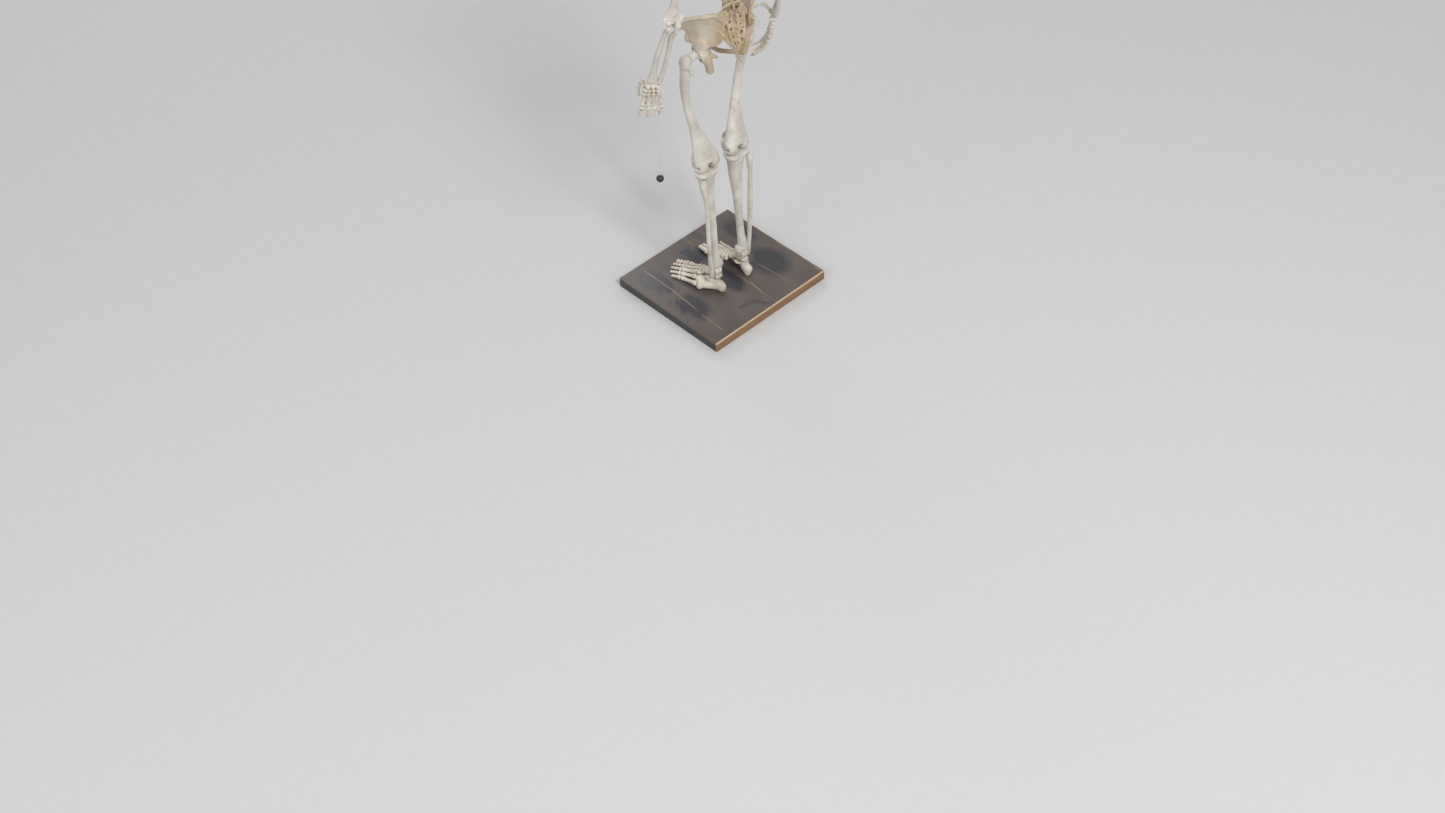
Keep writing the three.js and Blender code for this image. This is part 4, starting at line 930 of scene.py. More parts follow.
def rib_cage():
    for i in range(12):
        made = rib(i)
        node = "thoracic_spine" if i > 9 else "rib_cage"
        for side, flip in (("left", False), ("right", True)):
            place(f"{side}_rib_{i + 1}", made, "trunk", [node], IVORY, "bone", flip)
    made = costal_cartilage()
    place("left_costal_cartilage", made, "trunk", ["rib_cage"], GRISTLE, "cartilage")
    place("right_costal_cartilage", made, "trunk", ["rib_cage"], GRISTLE, "cartilage", True)
    place("sternum_cast", sternum(), "trunk", ["rib_cage"], IVORY, "bone")


# ---------------------------------------------------------------- shoulders
def clavicle():
    c = Clay((18, -90, 1434), (186, 20, 1486), 1.3)
    c.limb(
        [
            [29, -64, 1453, 9.5, 8.5],
            [38, -68, 1455, 8, 7.5],
            [60, -72, 1458, 5.8, 6],
            [84, -62, 1462, 5.4, 5.6],
            [108, -46, 1465, 5.2, 5.6],
            [136, -22, 1468, 5, 7.5],
            [156, -8, 1469, 4.6, 9],
            [168, -1, 1469, 4.2, 8],
        ],
        side=Z,
    )
    c.ball((120, -36, 1459), (8, 8, 4), 5)
    return c.rough(0.45, 8, 80).mesh()


def scapula():
    c = Clay((72, -34, 1280), (206, 132, 1488), 1.5)
    out, up = np.array([0.7348, -0.6783, 0]), np.array([0, -0.1203, 0.9927])
    through = np.cross(out, up)

    def on(u, v, thick):
        lift = 9 * math.exp(-(((u - 40) / 34) ** 2) - ((v - 92) / 62) ** 2)
        return [*(np.array([88, 112, 1290.0]) + out * u + up * v + through * (2 - lift)), thick]

    c.sheet(
        [
            [on(3, 3, 3.2), on(-7, 48, 2.6), on(-8, 92, 2.4), on(-5, 126, 2.2), on(4, 155, 2.4)],
            [on(8, 4, 3.2), on(16, 46, 2.1), on(22, 92, 2.0), on(26, 126, 2.0), on(28, 150, 2.1)],
            [on(14, 8, 3.6), on(34, 48, 2.4), on(52, 90, 2.2), on(58, 122, 2.1), on(54, 140, 2.2)],
            [on(18, 12, 4.4), on(46, 54, 4.6), on(72, 94, 5.4), on(84, 116, 6.4), on(82, 132, 6.0)],
        ],
        3,
    )
    c.ball((149, 27, 1427), (12, 17, 21), 6)
    c.limb(
        [
            [86, 106, 1402, 2, 4],
            [104, 99, 1412, 2, 8],
            [126, 84, 1426, 2.2, 11],
            [148, 66, 1441, 2.6, 12],
            [166, 50, 1455, 4, 9],
        ],
        side=Z,
        blend=4,
    )
    c.limb([[104, 108, 1415, 3, 4], [128, 95, 1429, 3, 4], [150, 78, 1445, 3.4, 5], [168, 58, 1459, 4, 9], [184, 36, 1467, 4, 12], [191, 12, 1469, 4, 11], [187, -4, 1468, 3.6, 7]], side=Z, blend=4)
    c.limb([[146, 30, 1436, 9, 8], [145, 14, 1450, 7, 7], [149, -2, 1450, 6, 6.5], [158, -16, 1441, 4.6, 6]], blend=5)
    c.ball(SHOULDER, (24.6, 24.6, 24.6), 2, cut=True)
    return c.rough(0.5, 9, 81).mesh()


# ---------------------------------------------------------------- arms
ELBOW_TURN, WRIST_TURN = math.radians(20), math.radians(45)


def arm_point(origin, thumbward, palmward, down, turn=WRIST_TURN):
    x, y, z = origin
    cos, sin = math.cos(turn), math.sin(turn)
    return [x + thumbward * cos - palmward * sin, y - thumbward * sin - palmward * cos, z - down]


def radial_at(turn):
    return (math.cos(turn), -math.sin(turn), 0)


def elbow_point(thumbward, palmward, down):
    return arm_point(ELBOW, thumbward, palmward, down, ELBOW_TURN)


def forearm_point(share, thumbward, palmward):
    middle = [a * (1 - share) + b * share for a, b in zip(ELBOW, WRIST)]
    turn = ELBOW_TURN * (1 - share) + WRIST_TURN * share
    return arm_point(middle, thumbward, palmward, 0, turn)


def humerus():
    c = Clay((158, -20, 1104), (280, 70, 1462), 1.5)
    hinge = radial_at(ELBOW_TURN)
    c.limb(
        [
            [192, 13, 1412, 17, 18],
            [198, 17, 1386, 12.5, 13],
            [205, 24, 1330, 10.5, 11],
            [211, 29, 1290, 11.5, 10.5],
            [220, 34, 1230, 9.8, 10],
            [231, 40, 1168, 12, 8.5],
            [237, 42, 1142, 23, 6.5],
            [240, 43, 1127, 26, 6],
        ],
        side=hinge,
    )
    c.ball(SHOULDER, (21.8, 21.8, 21.8), 2.5)
    c.ball((204, 10, 1424), (10, 13, 17), 5).ball((194, -8, 1420), (8, 7, 11), 5)
    c.limb([[203, -8, 1436, 2.6, 2.6], [204, -6, 1410, 2.2, 2.6], [204, 4, 1376, 1.8, 2.2]], blend=4, cut=True)
    c.limb([[206, 20, 1356, 1, 1], [213, 22, 1326, 3, 3], [216, 24, 1300, 3.4, 3.4], [216, 28, 1272, 2.6, 2.6], [214, 31, 1246, 1, 1]], blend=7)
    c.limb([[*elbow_point(-22, 0, 0), 9.2, 9.2], [*elbow_point(-15, 0, 0), 6.8, 6.8], [*elbow_point(-5, 0, 0), 8.6, 8.6]], side=Z, blend=3)
    c.limb([[*elbow_point(-3, 0, 0), 8, 8], [*elbow_point(2, 0, 0), 7, 7]], side=Z, blend=2)
    c.ball(elbow_point(13, 2, 0), (9.5, 9.5, 9.2), 3)
    c.ball(elbow_point(-29, 1, -9), (7, 6, 8), 5).ball(elbow_point(27, 1, -9), (5, 5, 8), 5)
    c.ball(elbow_point(-9, -8, -16), (9, 7, 9), 3, cut=True)
    c.ball(elbow_point(-9, 9, -15), (7, 5, 6), 3, cut=True)
    return c.rough(0.3, 20, 82).mesh()


def ulna():
    c = Clay((204, -40, 868), (268, 76, 1140), 1.3)
    c.limb(
        [
            [*elbow_point(-8, -18, -12), 8, 5],
            [*elbow_point(-8, -18, 2), 9, 7],
            [*elbow_point(-8, -7, 19), 9, 11],
            [*elbow_point(-9, -3, 34), 7.5, 9.5],
            [*forearm_point(0.24, -11, 0), 7.8, 8.8],
            [*forearm_point(0.5, -15, -2), 7, 7.6],
            [*forearm_point(0.78, -17, -2), 6.2, 6.4],
            [*forearm_point(0.93, -18, -2), 8, 8.2],
            [*forearm_point(0.965, -18, -2), 8.4, 8.4],
        ],
        side=radial_at(WRIST_TURN),
    )
    c.ball(elbow_point(-8, 9, 16), (9, 8, 7), 4)
    c.limb([[*forearm_point(0.95, -22, -4), 2.6, 2.6], [*forearm_point(0.99, -23, -4), 2.2, 2.2]], blend=3)
    c.limb([[*elbow_point(-70, 0, 0), 11, 11], [*elbow_point(60, 0, 0), 11, 11]], side=Z, blend=1.5, cut=True)
    return c.rough(0.25, 14, 83).mesh()


def radius():
    c = Clay((226, -64, 868), (288, 60, 1120), 1.3)
    c.limb([[*elbow_point(14, 0, 14), 9.6, 9.6], [*elbow_point(14, 0, 21), 9.6, 9.6]], blend=2, flat=True)
    c.limb(
        [
            [*elbow_point(14, 0, 22), 7.5, 7.5],
            [*forearm_point(0.14, 13, 1), 6.6, 6.8],
            [*forearm_point(0.22, 12, 2), 7.2, 7.2],
            [*forearm_point(0.5, 14, 1), 8.4, 7.2],
            [*forearm_point(0.8, 10, 1), 10, 7.6],
            [*forearm_point(0.91, 6, 1), 14, 8.6],
            [*forearm_point(0.955, 5, 1), 16, 9.4],
        ],
        side=radial_at(WRIST_TURN),
    )
    c.ball(forearm_point(0.19, 5, 3), (5, 5, 8), 4)
    c.limb([[*forearm_point(0.93, 17, 1), 4.5, 5], [*forearm_point(0.985, 17, 1), 3.4, 3.6]], blend=4)
    c.ball(forearm_point(1.0, 3, 1), (14, 14, 6), 2, cut=True)
    c.limb([[*elbow_point(-60, 0, 0), 10.5, 10.5], [*elbow_point(60, 0, 0), 10.5, 10.5]], side=Z, blend=1.5, cut=True)
    return c.rough(0.25, 14, 84).mesh()


# Name, place across the hand at the knuckle, knuckle's distance from the wrist, splay, bone lengths.
FINGERS = [
    ["index", 34, 88, 0.15, [42, 26, 19]],
    ["middle", 17.5, 90, 0.02, [46, 29, 20]],
    ["ring", -1, 87, -0.1, [43, 27, 20]],
    ["little", -21, 80, -0.07, [35, 20, 17]],
]
HANDS = {
    "left": {"tilt": 8, "bend": [20, 52, 80], "thumb": [[24, 11, 24], [35, 32, 12], [47, 36, 40], [44, 34, 70]]},
    "right": {"tilt": 10, "bend": [30, 52, 76], "thumb": [[24, 6, 14], [60, 30, 8], [74, 54, 18], [74, 70, 38]]},
}


def tilted(tilt, down):
    angle = math.radians(tilt)
    return [down * math.sin(angle), down * math.cos(angle)]


def palm(hand):
    tilt = hand["tilt"]
    c = Clay((196, -104, 768), (308, 30, 888), 1.1)
    side = radial_at(WRIST_TURN)

    def at(across, out, down, a, b=None):
        p, d = tilted(tilt, down)
        return [*arm_point(WRIST, across, p + out, d), a, b or a]

    for across, down, a, b, long_ in (
        (15, 12, 9, 8, 9),
        (0, 11, 8, 8.5, 7),
        (-14, 13, 7.5, 8, 7),
        (22, 27, 7.5, 8, 6),
        (11, 28, 6.4, 7.5, 6),
        (-1, 26, 7.4, 8.5, 9),
        (-14, 27, 8, 8.5, 7),
    ):
        c.limb([at(across, 0, down - long_ * 0.35, a, b), at(across, 0, down + long_ * 0.35, a, b)], side=side, blend=0.7)
    c.ball(at(-16, 10, 14, 4)[:3], (5, 5, 5), 0.7)
    c.limb([at(-8, 7, 22, 3, 3), at(-10, 11, 26, 2.6, 2.6)], side=side, blend=2)
    for _, across, reach, _, _ in FINGERS:
        long_bone(c, at(across * 0.72 + 1, 0, 33, 8.6, 8.6), at(across, 0, reach - 0.5, 8.4, 8.4), 0.7, 0.8, side)
    return c.rough(0.3, 4, 85).mesh()


def finger_joints(hand, finger):
    _, across, reach, splay, lengths = finger
    joints = [[across, *tilted(hand["tilt"], reach + 4)]]
    for length, bend in zip(lengths, hand["bend"]):
        angle = math.radians(bend)
        r, p, d = joints[-1]
        joints.append([r + splay * length, p + length * math.sin(angle), d + length * math.cos(angle)])
    return joints


def finger_bones(hand, finger):
    points = [arm_point(WRIST, *j) for j in finger_joints(hand, finger)]
    c = Clay(np.min(points, 0) - 10, np.max(points, 0) + 10, 0.95)
    sizes = [(7.9, 7.7), (6.8, 6.4), (6.2, 5.6), (5.4, 4.2)]
    for k in range(3):
        a, b = [*points[k], *sizes[k]], [*points[k + 1], *sizes[k + 1]]
        b[3:] = [v * (0.98 if k < 2 else 1.0) for v in b[3:]]
        long_bone(c, a, b, 0.7, 0.8, radial_at(WRIST_TURN))
    return c.rough(0.25, 4, 90).mesh()


def thumb_bones(hand):
    points = [arm_point(WRIST, *j) for j in hand["thumb"]]
    c = Clay(np.min(points, 0) - 12, np.max(points, 0) + 12, 1.0)
    sizes = [(8.6, 8), (7.6, 7), (6.6, 5.8), (5.4, 4.4)]
    for k in range(3):
        long_bone(c, [*points[k], *sizes[k]], [*points[k + 1], *sizes[k + 1]], 0.6, 0.6, Z)
    return c.rough(0.25, 4, 91).mesh()


def arms():
    both("clavicle", clavicle, "trunk", "clavicle", IVORY)
    both("scapula", scapula, "trunk", "scapula", IVORY)
    both("humerus", humerus, "upper_arm", "humerus", IVORY)
    both("ulna", ulna, "forearm", "ulna", IVORY)
    both("radius", radius, "forearm", "radius", IVORY)
    for side, flip in (("left", False), ("right", True)):
        hand = HANDS[side]
        place(f"{side}_palm_cast", palm(hand), f"{side}_hand", [f"{side}_palm"], HAND_BONE, "bone", flip)
        place(f"{side}_thumb_cast", thumb_bones(hand), f"{side}_thumb", [f"{side}_thumb"], HAND_BONE, "bone", flip)
        for finger in FINGERS:
            name = f"{side}_{finger[0]}"
            place(f"{name}_finger_cast", finger_bones(hand, finger), name, [f"{name}_finger"], HAND_BONE, "bone", flip)


# ---------------------------------------------------------------- skull
CAP_CUT = 84.0


def in_skull(stations):
    return [[s[0] + SKULL[0], s[1] + SKULL[1], s[2] + SKULL[2], *s[3:]] for s in stations]


def head_ball(c, centre, radii, blend=6, cut=False):
    return c.ball([a + b for a, b in zip(centre, SKULL)], radii, blend, cut)


def vault(c, inset, cut=False):
    blend = 12 if not cut else 1.5
    shapes = (
        ((0, 4, 66), (70, 86, 66)),
        ((0, -34, 62), (55, 50, 48)),
        ((0, 46, 50), (58, 50, 46)),
        ((0, 10, 40), (66, 66, 40)),
    )
    for centre, radii in shapes:
        head_ball(c, centre, [r - inset for r in radii], blend, cut)


def sutures(c):
    """The wandering seams between the plates of the vault, cut as fine grooves."""
    rng = np.random.RandomState(5)

    def seam(points):
        row = curve([[*p, 0] for p in points], 3.0)
        wander = rng.uniform(-1.6, 1.6, (len(row), 3))
        row[:, :3] += wander
        c.limb([[*r[:3], 1.25, 1.25] for r in in_skull([list(r[:3]) for r in row])], blend=1.0, cut=True)

    seam([(0, -18, 131.5), (0, 4, 132.5), (0, 30, 129.5), (0, 55, 119), (0, 72, 104)])
    for s in (1, -1):
        seam([(0, -18, 131.5), (s * 24, -22, 126), (s * 46, -27, 109), (s * 60, -34, 84), (s * 62, -37, 62)])
        seam([(0, 72, 104), (s * 20, 76, 92), (s * 40, 70, 78), (s * 56, 58, 58), (s * 62, 48, 40)])
        seam([(s * 62, -37, 60), (s * 68, -20, 70), (s * 71, 2, 74), (s * 69, 24, 62), (s * 63, 42, 42)])


def cranium_clay():
    c = Clay([-84 + SKULL[0], -104 + SKULL[1], -26 + SKULL[2]], [84, 104 + SKULL[1], 138 + SKULL[2]], 1.4)
    vault(c, 0)
    head_ball(c, (0, -62, 22), (36, 20, 34), 10)
    for s in (1, -1):
        head_ball(c, (s * 66, -42, 34), (9, 22, 24), 8, True)
        c.limb(in_skull([[s * 50, 22, 20, 11, 13], [s * 52, 24, 4, 9, 11], [s * 50, 23, -4, 5, 6]]), blend=6)
        head_ball(c, (s * 13, 14, -1), (7, 11, 6), 4)
        c.limb(in_skull([[s * 50, -60, 48, 3, 3], [s * 60, -34, 88, 2, 3], [s * 62, 6, 98, 2, 3], [s * 60, 40, 70, 2, 3]]), blend=8)
    head_ball(c, (0, 92, 32), (12, 8, 6), 6)
    c.limb(in_skull([[-40, 76, 32, 4, 4], [0, 90, 34, 4, 4], [40, 76, 32, 4, 4]]), side=Z, blend=8)
    vault(c, 5.5, True)
    head_ball(c, (0, 6, 26), (44, 58, 20), 3, True)
    for s in (1, -1):
        c.limb(in_skull([[s * 33, -74, 36, 22, 19], [s * 25, -56, 38, 14, 14], [s * 17, -44, 40, 7, 7]]), blend=4)
        c.limb(in_skull([[s * 7, -85, 51, 5, 5], [s * 26, -84, 57, 5.5, 5], [s * 44, -72, 51, 5.5, 5], [s * 51, -63, 38, 4.5, 4.5]]), blend=6)
        c.limb(in_skull([[s * 18, -74, 14, 9, 8], [s * 36, -68, 15, 9, 8], [s * 49, -58, 19, 6, 9], [s * 52, -60, 34, 4, 5]]), blend=5)
        c.limb(in_skull([[s * 50, -56, 18, 3, 6.5], [s * 63, -36, 16, 2.6, 4.4], [s * 67, -16, 16, 2.6, 4], [s * 62, 4, 20, 3.6, 4.8]]), side=X, blend=3)
        c.limb(in_skull([[s * 38, 14, 8, 2.6, 2.6], [s * 34, 6, -12, 2, 2]]), blend=3)
    c.limb(in_skull([[0, -84, 52, 5, 5], [0, -90, 42, 4.6, 5], [0, -97, 31, 5, 3.4]]), blend=4)
    arch = [[31, -36, -8], [27, -62, -8], [15, -77, -8], [0, -81, -8], [-15, -77, -8], [-27, -62, -8], [-31, -36, -8]]
    c.limb(in_skull([[*p, 6, 8] for p in arch]), side=Y, blend=6)
    head_ball(c, (0, -56, -1), (26, 24, 6), 5)
    for s in (1, -1):
        c.limb(in_skull([[s * 35, -106, 36, 20, 17], [s * 31, -80, 36, 19, 16], [s * 24, -58, 38, 11, 11], [s * 19, -50, 39, 4, 4]]), blend=3, cut=True)
        head_ball(c, (s * 7, -86, 9), (7, 16, 11), 3, True)
        head_ball(c, (s * 5, -86, 20), (5.5, 14, 11), 3, True)
        head_ball(c, (s * 66, 8, 10), (5, 3.6, 3.6), 2, True)
        head_ball(c, (s * 22, -90, 13), (2.2, 8, 2.2), 1, True)
        head_ball(c, (s * 26, -46, 0), (8, 12, 10), 5, True)
    head_ball(c, (0, 24, 4), (15, 17, 26), 3, True)
    c.limb(in_skull([[0, 0, -26, 7, 7], [0, 0, 40, 7, 7]]), blend=1, cut=True)
    sutures(c)
    return c.rough(0.6, 12, 95)


def teeth(top):
    """One arch of teeth, crowns side by side."""
    c = Clay([-42 + SKULL[0], -100 + SKULL[1], -44 + SKULL[2]], [42, -30 + SKULL[1], -4 + SKULL[2]], 0.85)
    half = [4.2, 3.4, 3.9, 3.6, 3.6, 5.0, 4.8, 4.4] if top else [2.8, 3.0, 3.5, 3.6, 3.7, 5.2, 5.0, 4.8]
    arch = curve([[0, -82, 0], [12, -79, 0], [21, -70, 0], [26, -58, 0], [29, -40, 0], [30, -26, 0]], 0.5)[:, :3]
    if not top:
        arch = arch * [0.96, 1, 1] + [0, 1.5, 0]
    run = np.concatenate([[0], np.cumsum(np.linalg.norm(np.diff(arch, axis=0), axis=1))])
    place_ = 0.0
    for k, w in enumerate(half):
        place_ += w
        i = int(np.searchsorted(run, place_))
        p, q = arch[i], arch[min(i + 3, len(arch) - 1)]
        side = (q - p) / np.linalg.norm(q - p)
        deep = 3.2 if k < 3 else 4.6
        z0, z1 = (-11, -22.5) if top else (-35, -24)
        for s in (1, -1):
            row = [[s * p[0], p[1], z0, w * 0.72, deep * 0.8], [s * p[0], p[1], z1, w * 0.98, deep * (0.55 if k < 3 else 1)]]
            c.limb(in_skull(row), side=(s * side[0], side[1], 0), blend=0.5, flat=True)
        place_ += w
    return c.mesh(0.02)


def mandible():
    c = Clay([-66 + SKULL[0], -98 + SKULL[1], -78 + SKULL[2]], [66, 26 + SKULL[1], 22 + SKULL[2]], 1.4)
    for s in (1, -1):
        c.limb(in_skull([[s * 50, 0, 4, 9, 4.5], [s * 49, -1, -3, 6, 4]]), blend=3)
        c.sheet(
            [
                in_skull([[s * 49, 2, -2, 2.6], [s * 48, 0, -22, 2.6], [s * 46, -8, -42, 3]]),
                in_skull([[s * 49, -12, -12, 2], [s * 47, -14, -26, 2.4], [s * 44, -20, -42, 3.6]]),
                in_skull([[s * 48, -27, 4, 1.8], [s * 45, -30, -20, 2.6], [s * 41, -34, -36, 4.6]]),
            ],
            4,
        )
        c.limb(in_skull([[s * 44, -16, -44, 6, 3.6], [s * 37, -38, -46, 13, 4.8], [s * 29, -58, -48, 15, 5.4], [s * 16, -74, -49, 16, 6], [0, -79, -50, 16.5, 6.6]]), side=(0.02, 0.1, 1), blend=4)
    c.ball([0, -82 + SKULL[1], -60 + SKULL[2]], (14, 7, 7), 7)
    for s in (1, -1):
        head_ball(c, (s * 24, -70, -50), (2, 4, 2), 1, True)
    return c.rough(0.5, 8, 97).mesh()


def skull():
    c = cranium_clay()
    whole = c.d.copy()
    c.keep(2, high=SKULL[2] + CAP_CUT - 0.4)
    place("cranium_cast", c.mesh(), "skull", ["cranium"], IVORY, "bone")
    c.d = whole
    c.keep(2, low=SKULL[2] + CAP_CUT + 0.4)
    place("skull_cap_cast", c.mesh(), "cap", ["skull_cap"], IVORY, "bone")
    place("upper_teeth", teeth(True), "skull", ["cranium"], ENAMEL, "bone")
    place("lower_teeth", teeth(False), "jaw", ["mandible"], ENAMEL, "bone")
    place("mandible_cast", mandible(), "jaw", ["mandible"], IVORY, "bone")


# ---------------------------------------------------------------- steelwork, base and bob
def turned_rod(name, node, body, profile, axis, sides=24):
    """A turned part over a CAD node: a profile of (distance along its box, radius) round an axis."""
    lo, hi = (np.array(v) * 1000 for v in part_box(node))
    middle = (lo + hi) / 2
    frame_ = np.roll(np.eye(3), 2 - axis, 0)
    u, v, w = frame_[(0 + 0) % 3], frame_[1], np.eye(3)[axis]
    u, v = np.eye(3)[(axis + 1) % 3], np.eye(3)[(axis + 2) % 3]
    length = hi[axis] - lo[axis]
    points, faces = [], []
    for t, r, n in profile:
        along = lo[axis] + (t if t >= 0 else length + t)
        for k in range(sides):
            angle = 2 * math.pi * k / sides
            flat = math.cos(math.pi / n) / math.cos((angle % (2 * math.pi / n)) - math.pi / n) if n else 1
            p = middle.copy()
            p[axis] = along
            points.append(p + (u * math.cos(angle) + v * math.sin(angle)) * r * flat)
    rings = len(profile)
    for i in range(rings - 1):
        for k in range(sides):
            a, b = i * sides + k, i * sides + (k + 1) % sides
            faces.append([a, b, b + sides, a + sides])
    points += [np.mean(points[:sides], 0), np.mean(points[-sides:], 0)]
    caps = [[rings * sides, (k + 1) % sides, k] for k in range(sides)]
    last = (rings - 1) * sides
    caps += [[rings * sides + 1, last + k, last + (k + 1) % sides] for k in range(sides)]
    points = np.array(points) - [0, 0, FLOOR]
    made = (points, np.array(caps), np.array(faces), np.full(len(points), 0.4))
    piece = place(name, made, body, [node], STEEL, "steel")
    hard_edges(piece, 35)
    return piece


def hard_edges(piece, degrees):
    piece.data.set_sharp_from_angle(angle=math.radians(degrees))


def hardware():
    pin = [(0, 1.8, 0), (0.6, 2.6, 0), (1.2, 3.0, 0), (-1.2, 3.0, 0), (-0.6, 2.6, 0), (0, 1.8, 0)]
    pin[-1] = (-0.001, 1.8, 0)
    for side in ("left", "right"):
        turned_rod(f"{side}_ankle_pin_rod", f"{side}_ankle_pin", "stand", pin, 0)
        turned_rod(f"{side}_knee_pin_rod", f"{side}_knee_pin", f"{side}_shank", pin, 0)
        turned_rod(f"{side}_hip_bolt_rod", f"{side}_hip_bolt", "trunk", pin, 0)
        bolt = [(0, 5.6, 6), (0.8, 6.8, 6), (4.4, 6.8, 6), (5, 6.2, 6), (5.01, 3.0, 0), (-1.2, 3.0, 0), (-0.001, 2.2, 0)]
        turned_rod(f"{side}_foot_bolt_rod", f"{side}_foot_bolt", "stand", bolt, 2)
        head = [(0, 4.2, 0), (0.7, 5.6, 0), (2.4, 5.9, 0), (3, 5.4, 0), (3.01, 3.0, 0), (-1.2, 3.0, 0), (-0.001, 2.2, 0)]
        if side == "right":
            length = 1000 * (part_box(f"{side}_shoulder_bolt")[1][0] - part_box(f"{side}_shoulder_bolt")[0][0])
            head = [(length - (t if t >= 0 else length + t), r, n) for t, r, n in reversed(head)]
        turned_rod(f"{side}_shoulder_bolt_rod", f"{side}_shoulder_bolt", "trunk", head, 0)
    rod = [[0, 48 - (z - 1000) * 0.31, z] for z in (1000, 1024, 1047)]
    rod += [[0, spine_at(min(z, 1631))[0], z] for z in range(1056, 1649, 16)]
    rod = np.array(rod)
    sides = 16
    rim = [[4.5 * math.cos(2 * math.pi * k / sides), 4.5 * math.sin(2 * math.pi * k / sides), 0] for k in range(sides)]
    points = np.vstack([p + np.array(rim) for p in rod] + [rod[:1], rod[-1:]])
    n = len(rod) * sides
    faces = [[i * sides + k, i * sides + (k + 1) % sides, (i + 1) * sides + (k + 1) % sides, (i + 1) * sides + k] for i in range(len(rod) - 1) for k in range(sides)]
    caps = [[n, (k + 1) % sides, k] for k in range(sides)]
    caps += [[n + 1, n - sides + k, n - sides + (k + 1) % sides] for k in range(sides)]
    made = (points, np.array(caps), np.array(faces), np.full(len(points), 0.4))
    hard_edges(place("spine_rod_steel", made, "trunk", ["spine_rod"], STEEL, "steel"), 35)


def block(name, node, material, slot, bevel, sides=3):
    """A slab over a CAD node with worn, rounded edges."""
    lo, hi = (np.array(v) * 1000 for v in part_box(node))
    corners = np.array([[x, y, z - FLOOR] for z in (lo[2], hi[2]) for x, y in ((lo[0], lo[1]), (hi[0], lo[1]), (hi[0], hi[1]), (lo[0], hi[1]))])
    quads = np.array([[3, 2, 1, 0], [4, 5, 6, 7], [0, 1, 5, 4], [1, 2, 6, 5], [2, 3, 7, 6], [3, 0, 4, 7]])
    piece = place(name, (corners, np.zeros((0, 3), int), quads, np.zeros(8)), "stand", [node], material, slot)
    bm = bmesh.new()
    bm.from_mesh(piece.data)
    bmesh.ops.bevel(bm, geom=bm.edges[:], offset=bevel / 1000, segments=sides, affect="EDGES", profile=0.6)
    bm.to_mesh(piece.data)
    bm.free()
    hard_edges(piece, 30)
    return piece


def base():
    block("base_board_slab", "base_board", LACQUER, "board", 1.6)
    block("stone_top_slab", "stone_top", MARBLE, "stone", 1.1)
    block("rear_edge_trim_strip", "rear_edge_trim", WOOD, "wood_edge", 1.3)


BALL_Z = 472


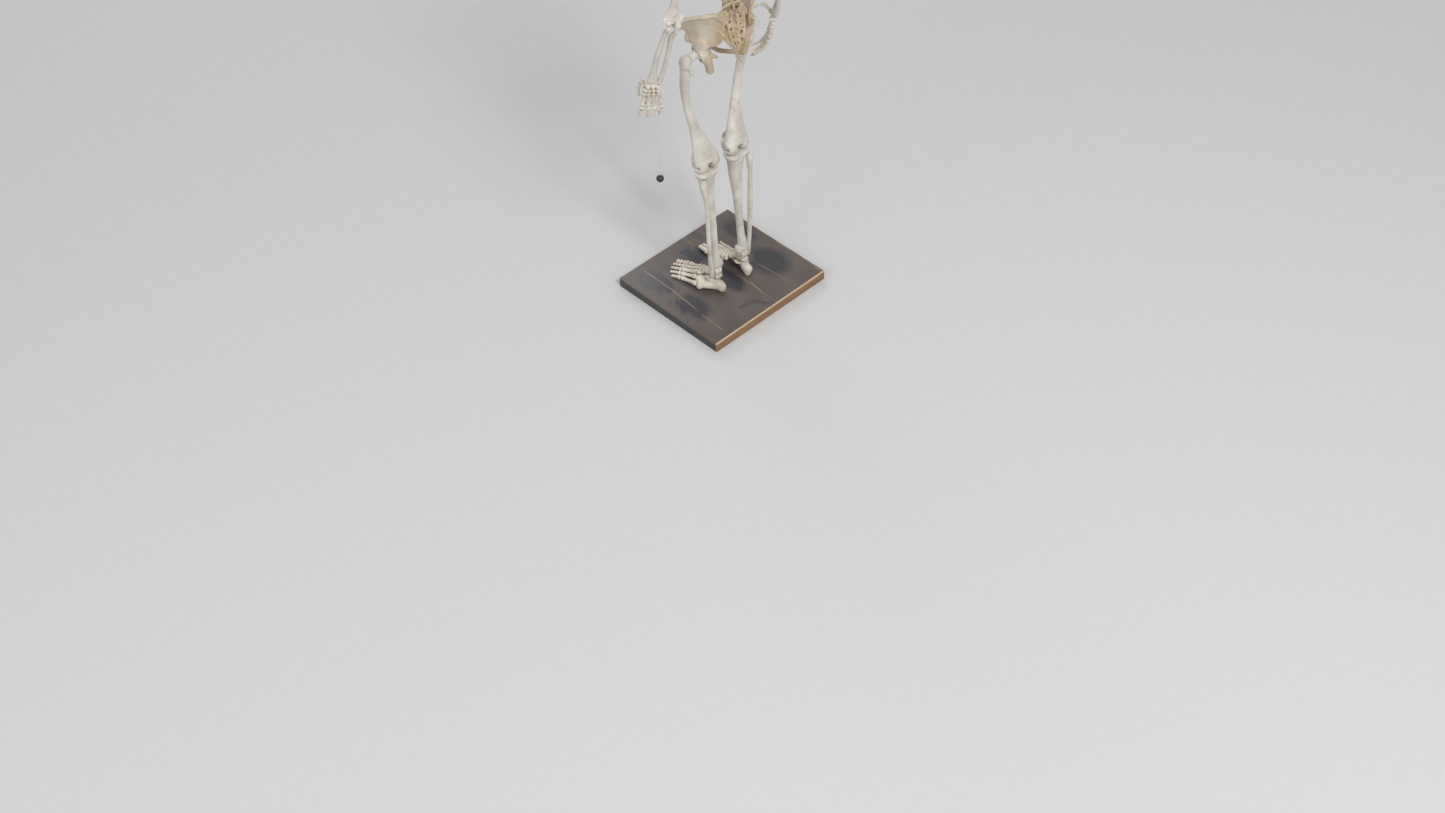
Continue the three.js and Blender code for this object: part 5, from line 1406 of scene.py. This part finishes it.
def bob():
    x, y = (v * 1000 for v in ((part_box("plumb_bob")[0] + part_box("plumb_bob")[1]) / 2)[:2])
    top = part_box("plumb_bob")[1][2] * 1000 - FLOOR
    bm = bmesh.new()
    bmesh.ops.create_icosphere(bm, subdivisions=2, radius=12.5)
    points = np.array([v.co[:] for v in bm.verts]) + [x, y, BALL_Z]
    tris = np.array([[v.index for v in f.verts] for f in bm.faces])
    bm.free()
    piece = place("bob_ball", (points, tris, np.zeros((0, 4), int), np.zeros(len(points))), "bob", ["plumb_bob"], RUBBER, "bob")
    for polygon in piece.data.polygons:
        polygon.use_smooth = False
    c = Clay((x - 6, y - 6, BALL_Z + 7), (x + 6, y + 6, BALL_Z + 23), 0.5)
    c.limb([[x, y, BALL_Z + 10, 2.4, 2.4], [x, y, BALL_Z + 14, 1.7, 1.7]], blend=1)
    place("bob_eyelet", c.mesh(), "bob", ["plumb_bob"], STEEL, "steel")
    sides, radius_ = 8, 0.22
    ring = [[x + radius_ * math.cos(2 * math.pi * k / sides), y + radius_ * math.sin(2 * math.pi * k / sides)] for k in range(sides)]
    points = np.array([[*p, z] for z in (BALL_Z + 12, top) for p in ring] + [[x, y, BALL_Z + 12], [x, y, top]])
    quads = np.array([[k, (k + 1) % sides, (k + 1) % sides + sides, k + sides] for k in range(sides)])
    caps = [[2 * sides, (k + 1) % sides, k] for k in range(sides)]
    caps += [[2 * sides + 1, sides + k, sides + (k + 1) % sides] for k in range(sides)]
    place("bob_line", (points, np.array(caps), quads, np.zeros(len(points))), "bob", ["plumb_bob"], LINE, "bob")


# ---------------------------------------------------------------- stage, light and camera
def studio():
    floor = bpy.data.meshes.new("studio_floor")
    floor.from_pydata([(-30, -30, 0), (30, -30, 0), (30, 30, 0), (-30, 30, 0)], [], [(0, 1, 2, 3)])
    ground = bpy.data.objects.new("studio_floor", floor)
    bpy.context.scene.collection.objects.link(ground)
    m = Nodes("studio_grey")
    m.set(Base_Color=colour("d0d0d0"), Roughness=0.95, Specular_IOR_Level=0.0)
    floor.materials.append(m.material)
    world = bpy.data.worlds.new("studio_world")
    world.use_nodes = True
    world.node_tree.nodes["Background"].inputs[0].default_value = (1, 1, 1, 1)
    world.node_tree.nodes["Background"].inputs[1].default_value = 0.53
    bpy.context.scene.world = world
    bpy.context.scene.view_settings.view_transform = "Standard"
    for name, spot, power, size in (
        ("key", (1.5, 5.5, 6.5), 330, 2.2),
        ("fill", (6.0, 0.5, 4.0), 60, 3.0),
        ("front", (-2.5, -6.5, 5.0), 90, 3.0),
    ):
        lamp = bpy.data.lights.new(name, "AREA")
        lamp.energy = power
        lamp.size = size
        light = bpy.data.objects.new(name, lamp)
        light.location = spot
        direction = Vector((0, 0, 0.8)) - light.location
        light.rotation_euler = direction.to_track_quat("-Z", "Y").to_euler()
        bpy.context.scene.collection.objects.link(light)


def camera():
    data = bpy.data.cameras.new("photo_camera")
    data.lens = 50
    data.sensor_width = 36
    eye = bpy.data.objects.new("photo_camera", data)
    eye.location = (3.5067, 3.5077, 4.3815)
    eye.rotation_euler = (math.radians(45), 0, math.radians(135))
    bpy.context.scene.collection.objects.link(eye)
    bpy.context.scene.camera = eye


legs()
pelvis()
spine()
rib_cage()
arms()
skull()
hardware()
base()
bob()
studio()
camera()
